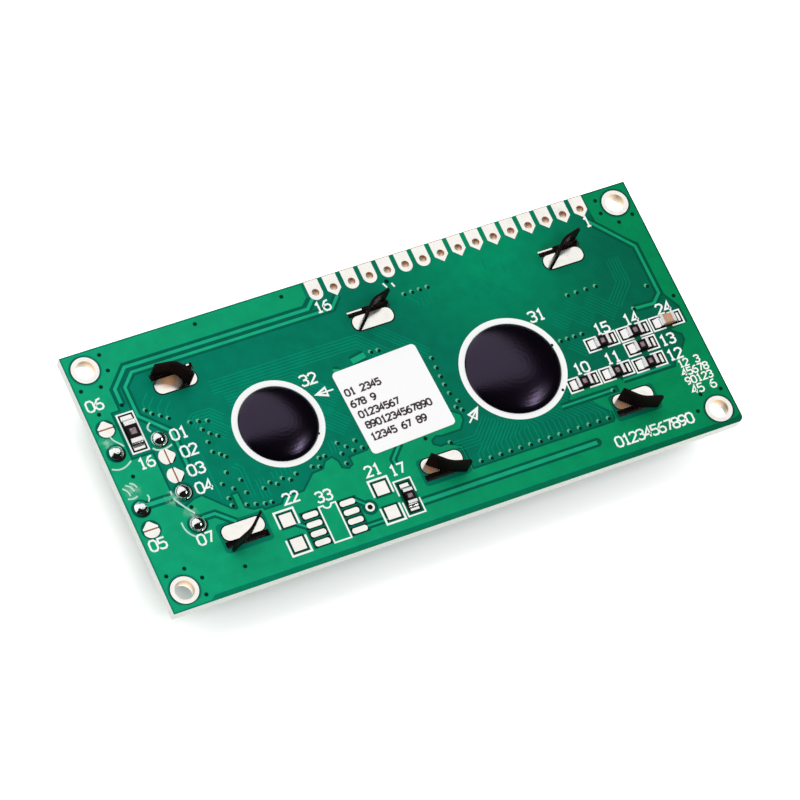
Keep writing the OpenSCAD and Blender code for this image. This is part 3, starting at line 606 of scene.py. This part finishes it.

# Vias with a raised rim and a painted highlight, on the bare field
JUMPER_VIAS = [(-32.5, 8.1), (-31.9, 7.4), (-31.0, 6.8), (-30.2, 6.2)]
RIM_VIAS = FAN_VIAS + JUMPER_VIAS + [
    (-27.9, 4.8), (-26.8, 4.6), (-25.7, 4.3), (-26.8, 3.4), (-26.1, 2.6), (-25.3, 2.0),
    (-26.8, 1.6), (-26.8, 0.2), (-26.0, -0.4), (-25.5, -0.9), (-26.3, -2.9), (-27.4, -4.2),
    (-25.0, -4.4), (-26.3, -5.2), (-27.4, -6.2), (-25.0, -6.2), (-27.4, -7.2), (-25.6, -7.7),
    (-24.5, -8.0), (-23.4, -8.3), (-22.5, -8.4), (-22.7, -6.4), (-21.7, -5.9), (-20.9, -6.4),
    (-20.0, -5.9), (-19.1, -6.4), (-18.1, -5.9), (-15.8, -5.7), (-14.9, -6.0), (-14.5, -4.9),
    (-13.7, -4.9), (-11.5, -3.8), (-10.6, -4.6), (-9.2, -4.2), (-11.5, -5.3), (-9.9, -5.4),
    (-8.7, -5.4), (-11.5, -6.7), (4.9, 3.0), (4.9, 1.6), (4.9, 0.3), (4.9, -0.9), (5.0, -2.2),
    (5.6, -3.5), (5.0, -4.2), (5.6, -4.8), (2.2, -8.4),
    (5.3, 12.3), (6.4, 12.3), (7.5, 12.3), (8.6, 12.3),
    (21.9, -0.2), (22.9, -0.2), (23.9, -0.2), (25.0, -0.2),
    (-2.2, 6.3), (-1.2, 6.2), (25.6, 5.4), (26.9, 5.4), (28.3, 5.4), (29.7, 5.4),
    (36.2, 3.3), (33.1, 0.9), (25.4, -8.7),
]
# Vias that show as a dark dot in the broad copper
DOT_VIAS = [
    (-35.0, 16.9), (-34.8, 14.6), (-36.5, 12.8), (-39.1, 13.0), (-21.9, 17.0), (-9.9, 17.0),
    (35.1, 16.6), (35.0, 14.7), (36.8, 12.8), (39.0, 13.3), (36.1, -12.9), (39.0, -13.0), (34.7, -14.9),
    (-38.9, -13.1), (-36.4, -12.9), (-34.8, -14.7), (-35.2, -16.9), (-29.2, -15.1), (-35.0, 9.7),
    (-38.2, 9.4), (-37.5, 0.4), (-0.6, -6.85), (39.0, 0.9), (-32.3, -5.7),
]

# Edge of the broad copper from the header side's left corner, which runs round the bare field and
# then back along the board's other edges, that far in from them
EDGE = 0.2
COPPER_EDGE = [
    (X0 + EDGE, Y1 - EDGE), (PAD_16_X - 1.4, Y1 - EDGE), (PAD_16_X - 1.4, 15.9), (-7.9, 15.0),
    (-32.9, 15.0), (-35.7, 12.1), (-35.7, 9.2), (-36.8, 9.2), (-36.8, 2.45), (-34.0, 2.45),
    (-34.0, -5.0), (-33.3, -5.6),
    (-31.5, -4.9), (-30.5, -4.8), (-27.8, -7.5), (-27.1, -7.9), (-26.8, -7.7), (-26.8, -5.9), (-26.2, -5.9),
    (-26.1, -8.0), (-25.1, -8.6), (-24.0, -8.7), (-23.9, -9.1), (-21.4, -9.1), (-20.8, -8.4), (-18.1, -8.4),
    (-16.1, -6.6), (-14.6, -6.5), (-13.9, -5.6), (-13.0, -5.4), (-12.5, -6.1), (-12.4, -7.1), (-11.5, -7.5),
    (-10.7, -7.1), (-10.7, -6.1), (-8.3, -5.95), (-7.0, -5.0), (4.0, -4.5), (5.0, -5.3), (5.0, -6.0),
    (4.2, -7.05), (1.6, -7.05), (0.8, -6.85), (-0.05, -7.3), (-0.05, -8.0), (0.8, -8.55), (1.7, -8.5),
    (3.35, -9.4), (3.35, -12.7), (23.6, -12.7), (24.05, -12.2), (24.0, -11.3), (22.1, -9.1), (26.2, -9.1),
    (26.2, -8.1), (19.4, -8.05), (19.9, -7.3), (26.8, -7.3), (27.6, -8.3), (34.8, -8.35), (35.2, -7.4),
    (36.7, -6.4), (37.7, -5.2), (37.7, -4.3), (36.5, -3.3), (39.1, -3.0), (39.1, -0.6), (37.9, 1.6),
    (37.9, 9.3), (33.9, 13.3), (33.75, 15.0), (33.75, Y1 - EDGE), (X1 - EDGE, Y1 - EDGE),
    (X1 - EDGE, Y0 + 1.0), (X1 - 1.0, Y0 + 0.75), (20, Y0 + 0.8), (-34.2, Y0 + 0.72),
    (-34.9, Y0 + EDGE), (X0 + EDGE, Y0 + EDGE),
]


def broad_copper(bm):
    """The copper round the bare field, cut back round the mounting holes, the tabs and the test via."""
    hole_r, via_r = 2.1, 0.85
    lowest = Y0 + 0.85
    holes = [[(px, max(py, lowest)) for px, py in circle(x, y, hole_r)] for x, y in HOLES]
    half, low = 3.25, -12.95
    for x in TAB_X:
        high = -8.95 if x == TAB_X[0] else -9.25
        holes.append(rounded(x - half, low, x + half, high, 0.5))
    holes.append(circle(*TEST_VIA, via_r))
    plate(bm, COPPER_EDGE, holes, COPPER_TOP)


def bare_gaps(bm):
    """Strips and patches where the board shows between the copper and what it goes round."""
    tops = itertools.count(GAP_TOP, GAP_STEP)
    for width, path in TRACKS:
        ribbon(bm, path, width + TRACK_GAP, next(tops), bevel=0.0)
    disc(bm, *LONG_TRACK_END, 0.62, next(tops))
    disc(bm, *TEST_VIA, 1.05, next(tops), 24)
    for pads, radius in ((LEVEL_JUMPERS, 1.3), (LEADS, 1.25), (CLOSED_JUMPERS[1:], 1.35)):
        for x, y in pads:
            disc(bm, x, y, radius, next(tops), 24)
    for x in ROW_X:
        for i in range(ROW_PADS):
            y = -11.5 - ROW_PITCH * i
            ribbon(bm, [(x - 1.35, y), (x + 1.35, y)], 1.25, next(tops), bevel=0.0)
    for x, y in SQUARE_PADS:
        ribbon(bm, [(x - 1.15, y), (x + 1.15, y)], 2.3, next(tops), bevel=0.0)
    ribbon(bm, [(-5.9, -10.9), (-5.9, -15.9)], 2.2, next(tops), bevel=0.0)


def copper_step_shade(bm):
    """Painted shade: a dark line along the step down from the broad copper to the bare field, and along the
    copper's edge at the board's right end.
    """
    margin_x, margin_y = 0.5, 1.0
    inner = [(x, y) for x, y in COPPER_EDGE if abs(x) < X1 - margin_x and abs(y) < Y1 - margin_y]
    ribbon(bm, inner, 0.55, STEP_SHADE_TOP, bevel=0.0)
    x = X1 - 0.12
    ribbon(bm, [(x, Y1 - 0.12), (x, Y0 + 0.9)], 0.2, STEP_SHADE_TOP, bevel=0.0)


def around(bm, outline, width, top):
    """A closed line along the outline."""
    ribbon(bm, [*outline, outline[0]], width, top, bevel=0.0)


def chip_clearance(bm, node, top):
    """Bare laminate under and beside a chip part, and round its two pads."""
    low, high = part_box(node)
    cx, cy = ((low[axis] + high[axis]) / 2 / MM for axis in (0, 1))
    wide, tall = ((high[axis] - low[axis]) / MM for axis in (0, 1))
    length, width = max(wide, tall), min(wide, tall)

    def at(along, across):
        return (cx + along, cy + across) if wide > tall else (cx + across, cy + along)

    reach = length / 2 + 1.1
    ribbon(bm, [at(-reach, 0), at(reach, 0)], width + 0.42, top, bevel=0.0)
    half = width / 2 + 0.05
    for end in (-1, 1):
        inner, outer = end * (length / 2 - 0.3), end * (length / 2 + 0.95)
        corners = [at(inner, -half), at(outer, -half), at(outer, half), at(inner, half)]
        around(bm, corners, 0.17, PAD_TOP + 0.006)


def clearances(bm):
    """Bare laminate in the clearance between the lacquer and the tinned pads, darkened as painted shade at
    the lacquer's edge.
    """
    tops = itertools.count(CLEAR_TOP, GAP_STEP)
    for part in frame["record"]["subparts"]:
        if part["node"].startswith(("resistor_", "capacitor")):
            chip_clearance(bm, part["node"], next(tops))
    for x in ROW_X:
        for i in range(ROW_PADS):
            y = -11.54 - ROW_PITCH * i
            ribbon(bm, [(x - 1.15, y), (x + 1.15, y)], 1.02, next(tops), bevel=0.0)
    for x, y in SQUARE_PADS:
        ribbon(bm, [(x - 1.0, y), (x + 1.0, y)], 2.0, next(tops), bevel=0.0)
    # Set towards the lower right, so the dark ring is wider on that side as painted shade
    for x, y in CLOSED_JUMPERS + LEADS:
        disc(bm, x + 0.12, y - 0.08, 1.08, next(tops), 24)
    disc(bm, *TEST_VIA, 0.34, PAD_TOP + 0.006)
    # Set a little towards the lower right, as painted shade
    for x, y in UPRIGHT_JUMPERS + LEVEL_JUMPERS:
        disc(bm, x + 0.03, y - 0.03, 1.06, next(tops), 24)
    for x, y in HOLES:
        around(bm, circle(x, y, 1.85), 0.13, next(tops))
    half = 2.88
    for x in TAB_X:
        for y0, y1 in ((-11.45, -9.35), (9.35, 11.45)):
            around(bm, rounded(x - half, y0, x + half, y1, 0.95), 0.17, next(tops))


def exposed_copper(bm):
    """Copper at the cut ends of the header pads, and in the splits of the open jumpers."""
    y = Y1 - 0.05
    for i in range(PADS):
        x = PAD_1_X - PIN_PITCH * i
        ribbon(bm, [(x - 0.92, y), (x + 0.92, y)], 0.08, PAD_TOP + 0.008)
    half = 0.95
    for x, y in UPRIGHT_JUMPERS:
        ribbon(bm, [(x, y - half), (x, y + half)], 0.2, PAD_TOP - 0.015, bevel=0.0)
    for x, y in LEVEL_JUMPERS:
        ribbon(bm, [(x - half, y), (x + half, y)], 0.2, PAD_TOP - 0.015, bevel=0.0)


def broad_tracks(bm):
    """Tracks under lacquer, over the bare strips."""
    for width, path in TRACKS:
        ribbon(bm, path, width, TRACK_TOP)


def edge_strip(bm):
    """Copper between the bare line and the board's long edge."""
    ribbon(bm, [(-34.4, Y0 + 0.24), (X1 - 1.2, Y0 + 0.24)], 0.3, COPPER_TOP)


def fan(bm):
    """Two tracks from each via of the row, which slant towards the middle of the large dome."""
    middle = (len(FAN_VIAS) - 1) / 2
    for i, (x, y) in enumerate(FAN_VIAS):
        bend = y + 1.0 + 0.22 * (middle - abs(i - middle))
        for twin in (0.0, FAN_TWIN):
            outer = x + twin
            inner = FAN_X + ((i - middle) * FAN_PITCH + twin) * FAN_SQUEEZE
            slant_top = bend + abs(outer - inner)
            path = [(outer, y + 0.3), (outer, bend), (inner, slant_top), (inner, FAN_TOP_Y)]
            ribbon(bm, path, FAN_W, FINE_TOP)


def fine_tracks(bm):
    """The bundles of fine tracks, the fan, and a short track from each via by the jumpers."""
    for layer, (path, count, step) in enumerate(BUNDLES):
        for i in range(count):
            ribbon(bm, shifted(path, step * i), FINE_W, FINE_TOP - FINE_STEP * layer)
    fan(bm)
    for x, y in JUMPER_VIAS:
        ribbon(bm, [(x, y), (x, y + 1.0), (x + 1.1, y + 2.1)], FINE_W, FINE_TOP)


def via_highlights(bm):
    """Painted highlight: a lighter disc towards the upper left of each raised via, for its lit side."""
    shift, radius = 0.1, 0.25
    for x, y in RIM_VIAS:
        disc(bm, x - shift, y + shift, radius, VIA_TOP)


def via_wells(bm):
    """The dark dimple of each via: its hole, darkened as painted shade, and set towards the lower right of
    each raised via.
    """
    shift, well_r, dot_r, rise = 0.07, 0.23, 0.27, 0.002
    for x, y in RIM_VIAS:
        disc(bm, x + shift, y - shift, well_r, VIA_TOP + rise)
    for x, y in DOT_VIAS:
        disc(bm, x, y, dot_r, TRACK_TOP + rise)


# Numbers -----------------------------------------------------------------------------

# Strokes of the digits on a grid two wide and three high
DIGITS = {
    "0": [[(0.5, 0), (1.5, 0), (2, 0.6), (2, 2.4), (1.5, 3), (0.5, 3), (0, 2.4), (0, 0.6), (0.5, 0)]],
    "1": [[(0.4, 2.4), (1.1, 3), (1.1, 0)], [(0.5, 0), (1.7, 0)]],
    "2": [[(0, 2.4), (0.5, 3), (1.5, 3), (2, 2.5), (2, 1.9), (0, 0), (2, 0)]],
    "3": [
        [(0, 2.6), (0.5, 3), (1.5, 3), (2, 2.5), (2, 2), (1.5, 1.6), (0.8, 1.6)],
        [(1.5, 1.6), (2, 1.1), (2, 0.5), (1.5, 0), (0.5, 0), (0, 0.5)],
    ],
    "4": [[(1.5, 0), (1.5, 3), (0, 0.9), (2, 0.9)]],
    "5": [[(2, 3), (0.2, 3), (0.1, 1.7), (1.5, 1.8), (2, 1.3), (2, 0.5), (1.5, 0), (0.5, 0), (0, 0.4)]],
    "6": [[
        (1.8, 3), (0.8, 2.8), (0, 1.6), (0, 0.6), (0.5, 0), (1.5, 0), (2, 0.5), (2, 1.2),
        (1.5, 1.7), (0.5, 1.7), (0, 1.2),
    ]],
    "7": [[(0, 3), (2, 3), (0.8, 0)]],
    "8": [
        [(0.5, 1.6), (0, 2.1), (0, 2.5), (0.5, 3), (1.5, 3), (2, 2.5), (2, 2.1), (1.5, 1.6), (0.5, 1.6)],
        [(0.5, 1.6), (0, 1.1), (0, 0.5), (0.5, 0), (1.5, 0), (2, 0.5), (2, 1.1), (1.5, 1.6)],
    ],
    "9": [[
        (0.2, 0), (1.2, 0.2), (2, 1.4), (2, 2.4), (1.5, 3), (0.5, 3), (0, 2.5), (0, 1.8),
        (0.5, 1.3), (1.5, 1.3), (2, 1.8),
    ]],
}


def write(bm, words, x, y, height, stroke, low=0.0, turn=0.0, pitch=0.83):
    """Digits in a line centred on (x, y), turned by that angle in degrees; pitch is in heights."""
    unit = height / 3
    step = height * pitch
    cosine, sine = math.cos(math.radians(turn)), math.sin(math.radians(turn))
    start = -(len(words) * step - (step - 2 * unit)) / 2
    layer = itertools.cycle(range(5))
    for i, digit in enumerate(words):
        for path in DIGITS.get(digit, []):
            placed = []
            for u, v in path:
                a, b = start + i * step + u * unit, (v - 1.5) * unit
                placed.append((x + a * cosine - b * sine, y + a * sine + b * cosine))
            ribbon(bm, placed, stroke, low + INK_TOP + INK_STEP * next(layer), low, 0.15)


BROAD_STROKE, FINE_STROKE, LABEL_STROKE = 0.26, 0.21, 0.23
# Plain numbers: words, centre, height, and the pitch where it is a closer one
NUMBERS = [
    ("16", -5.45, 14.1, 1.35), ("1", 32.7, 14.2, 1.35), ("06", -38.25, 10.75, 1.4),
    ("01", -29.8, 3.9, 1.4), ("02", -29.5, 1.4, 1.4), ("03", -29.7, -1.2, 1.4),
    ("04", -29.7, -3.7, 1.4), ("05", -38.2, -8.9, 1.4), ("07", -32.3, -10.1, 1.35),
    ("16", -35.2, 1.6, 1.35), ("22", -20.1, -8.6, 1.35), ("33", -16.1, -9.75, 1.35),
    ("21", -8.8, -8.6, 1.35), ("17", -5.8, -9.5, 1.3), ("32", -11.4, 5.4, 1.4),
    ("31", 20.4, 4.1, 1.4), ("15", 27.8, -0.25, 1.35), ("14", 32.1, -0.25, 1.35),
    ("24", 36.9, -0.25, 1.35), ("13", 35.4, -4.45, 1.35), ("12", 35.4, -6.65, 1.35),
    ("11", 27.3, -4.5, 1.35), ("10", 22.8, -4.5, 1.35), ("01234567890", 28.1, -15.4, 1.35, 0.76),
    ("12 3", 36.7, -8.15, 0.95), ("45678", 37.0, -9.4, 0.95), ("90123", 37.0, -10.65, 0.95),
    ("45 6", 37.0, -12.0, 1.1),
]
# Two short strokes of print beside the header
TICKS = ([(3.3, 14.6), (3.6, 13.9)], [(4.4, 14.3), (4.6, 13.7)])
# The label's lines: words, and their middle along and up from the label's middle
LABEL_LINES = [
    ("01 2345", -3.0, 2.85), ("678 9", -3.75, 1.2), ("01234567", -2.35, -0.45),
    ("8901234567890", -0.35, -2.05), ("12345 67 89", -1.2, -3.75),
]
LABEL_TURN = 2.6


def board_numbers(bm):
    """Plain numbers in the places of the board's print."""
    for words, x, y, height, *pitch in NUMBERS:
        stroke = BROAD_STROKE if height > 1.2 else FINE_STROKE
        write(bm, words, x, y, height, stroke, 0, 0, *pitch)
    for path in TICKS:
        ribbon(bm, path, 0.24, INK_TOP)


def label_numbers(bm):
    """Plain numbers in the places of the label's print."""
    low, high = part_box("label")
    middle = (low + high) / 2 / MM
    top = (high[2] - TOP) / MM
    cosine, sine = math.cos(math.radians(LABEL_TURN)), math.sin(math.radians(LABEL_TURN))
    for words, along, up in LABEL_LINES:
        x = middle[0] + along * cosine - up * sine
        y = middle[1] + along * sine + up * cosine
        write(bm, words, x, y, 0.86, LABEL_STROKE, top, LABEL_TURN, 0.84)


# Where paint is missing: x, y and radius
RING_NICKS = [(20.55, -0.35, 0.2), (19.15, -6.5, 0.2), (-13.2, -1.8, 0.2), (3.9, 14.7, 0.3)]


def ring_marks(bm):
    """Nicks in the printed rings where no paint took."""
    for x, y, radius in RING_NICKS:
        disc(bm, x, y, radius, INK_TOP + 0.006, 10)


def slot_plating(bm):
    """Tin on the outer walls of the header side's slots, where it shows beside the tabs' necks."""
    left, middle, right = TAB_X
    spans = ((middle - 2.85, middle - 0.75), (right - 2.85, right - 0.75), (left + 2.2, left + 2.6))
    y, width, high, low = SLOT_Y1 - 0.13, 0.24, -0.12, -1.5
    for x0, x1 in spans:
        ribbon(bm, [(x0, y), (x1, y)], width, high, low, bevel=0.0)


FLUX_ARCS = [
    [(-39.4, -0.7), (-38.9, -1.2), (-38.8, -1.9)],
    [(-38.9, -0.4), (-38.3, -0.8), (-38.1, -1.5)],
    [(-38.3, -0.3), (-37.8, -0.6), (-37.6, -1.1)],
    [(-39.3, -2.2), (-38.6, -2.4), (-38.0, -2.2)],
    [(-38.1, 6.2), (-37.9, 5.6), (-37.3, 5.0), (-36.95, 4.5)],
    [(-39.6, 2.1), (-38.7, 1.7), (-37.7, 1.9), (-36.9, 2.4)],
    [(-33.7, 3.1), (-33.2, 2.6), (-32.2, 2.5), (-31.2, 2.8)],
    [(-32.4, 6.5), (-33.0, 6.2), (-33.3, 5.7), (-33.0, 5.2)],
    [(-31.6, 5.4), (-31.1, 4.9), (-30.8, 4.6)],
    [(-33.9, -2.9), (-34.0, -3.9), (-33.4, -4.9), (-32.9, -5.7), (-32.2, -6.6)],
    [(-34.3, -7.2), (-34.3, -8.1), (-33.9, -9.0), (-33.1, -9.7)],
    [(-36.8, -2.4), (-36.7, -2.9), (-37.0, -3.3)],
]


def flux_arcs(bm):
    """Pale rims of dried flux beside the hand-soldered joints."""
    for path in FLUX_ARCS:
        ribbon(bm, softened(path), 0.24, FLUX_TOP)


# Name, maker, look, and the slot in the record where one fits
PIECES = [
    ("board_copper", broad_copper, "mask_over_copper", "solder_mask"),
    # The dark line along the copper's step is painted shade, in the gaps' colour
    ("board_step_shade", copper_step_shade, "mask_in_gap", "solder_mask"),
    ("board_gaps", bare_gaps, "mask_in_gap", "solder_mask"),
    ("board_clearances", clearances, "bare_laminate", "solder_mask"),
    ("board_tracks", broad_tracks, "mask_over_track", "solder_mask"),
    ("board_edge_strip", edge_strip, "mask_over_edge", "solder_mask"),
    ("board_fine_tracks", fine_tracks, "mask_over_fine_track", "solder_mask"),
    ("via_highlights", via_highlights, "via_rim", "solder_mask"),
    ("via_wells", via_wells, "via_well", "solder_mask"),
    ("board_numbers", board_numbers, "white_print", "white_print"),
    ("flux_arcs", flux_arcs, "flux", "solder_mask"),
    ("ring_marks", ring_marks, "via_well", "solder_mask"),
    ("slot_plating", slot_plating, "tinned_copper", "tinned_copper"),
    ("exposed_copper", exposed_copper, "bare_copper", "tinned_copper"),
    ("label_numbers", label_numbers, "label_ink", None),
]


# Floor and light ---------------------------------------------------------------------


def make_floor():
    """A white floor that takes the object's shadow, and reads as pure white to the camera."""
    mesh = bpy.data.meshes.new("floor")
    half = 3.0
    corners = [(-half, -half, 0), (half, -half, 0), (half, half, 0), (-half, half, 0)]
    mesh.from_pydata(corners, [], [(0, 1, 2, 3)])
    floor = bpy.data.objects.new("floor", mesh)
    bpy.context.scene.collection.objects.link(floor)
    lit, seen = (0.8,) * 3, (1.75,) * 3
    s = Shader("floor", lit, 0.9, Specular_IOR_Level=0.0)
    path = s.node("ShaderNodeLightPath")
    in_view = s.math("MAXIMUM", path.outputs["Is Camera Ray"], path.outputs["Is Glossy Ray"])
    in_view = s.math("MAXIMUM", in_view, path.outputs["Is Transmission Ray"])
    s.drive("Base Color", s.mix(in_view, lit, seen))
    mesh.materials.append(s.material)


def area_lamp(name, place, length, width, power):
    """A lamp that faces the origin."""
    lamp = bpy.data.lights.new(name, "AREA")
    lamp.shape = "RECTANGLE"
    lamp.size = length
    lamp.size_y = width
    lamp.energy = power
    item = bpy.data.objects.new(name, lamp)
    item.location = place
    item.rotation_euler = (-Vector(place)).to_track_quat("-Z", "Y").to_euler()
    bpy.context.scene.collection.objects.link(item)
    return item


def dark_card(name, corners):
    """A black card, out of every camera's sight, that only shiny surfaces mirror."""
    mesh = bpy.data.meshes.new(name)
    mesh.from_pydata(corners, [], [(0, 1, 2, 3)])
    card = bpy.data.objects.new(name, mesh)
    bpy.context.scene.collection.objects.link(card)
    mesh.materials.append(Shader(name, (0.01, 0.01, 0.01), 1.0, Specular_IOR_Level=0.0).material)
    card.visible_camera = False
    card.visible_diffuse = False
    card.visible_shadow = False


def make_world():
    """White all round, weaker where it only lights the scene than where it is seen or mirrored."""
    lighting, seen = 0.63, 1.0
    world = bpy.data.worlds.new("studio")
    world.use_nodes = True
    bpy.context.scene.world = world
    tree = world.node_tree
    path = tree.nodes.new("ShaderNodeLightPath")
    in_view = path.outputs["Is Camera Ray"]
    for output in ("Is Glossy Ray", "Is Transmission Ray"):
        either = tree.nodes.new("ShaderNodeMath")
        either.operation = "MAXIMUM"
        tree.links.new(in_view, either.inputs[0])
        tree.links.new(path.outputs[output], either.inputs[1])
        in_view = either.outputs["Value"]
    strength = tree.nodes.new("ShaderNodeMapRange")
    strength.inputs["To Min"].default_value = lighting
    strength.inputs["To Max"].default_value = seen
    tree.links.new(in_view, strength.inputs["Value"])
    background = tree.nodes["Background"]
    background.inputs["Color"].default_value = (1, 1, 1, 1)
    tree.links.new(strength.outputs["Result"], background.inputs["Strength"])


def make_cards():
    """A ceiling, open towards the north-west, and two walls that keep the shiny surfaces dark."""
    far, high, east, north = 2.5, 1.0, 0.66, 0.15
    close, low = 0.36, 0.003
    # The east wall stops where the ceiling's east edge is seen over it from the origin
    top = close / east
    dark_card("south_card", [
        (-far, -far, high), (far, -far, high), (far, north, high), (-far, north, high),
    ])
    dark_card("east_card", [
        (east, north, high), (far, north, high), (far, far, high), (east, far, high),
    ])
    dark_card("south_wall", [
        (-far, -close, low), (close, -close, low), (close, -close, high), (-far, -close, high),
    ])
    dark_card("east_wall", [
        (close, -close, low), (close, far, low), (close, far, top), (close, -close, top),
    ])


def light_scene():
    """A broad key that no surface mirrors, and a strip that glints on the domes."""
    make_world()
    key = area_lamp("key", (-0.05, 0.7, 0.85), 1.3, 1.3, 5.8)
    key.visible_glossy = False
    area_lamp("strip", (0.34, -0.21, 0.57), 0.28, 0.09, 0.75)
    make_cards()


make_camera()
dress_nodes()
for piece in PIECES:
    add_piece(*piece)
make_floor()
light_scene()

scene = bpy.context.scene
scene.view_settings.view_transform = "Standard"
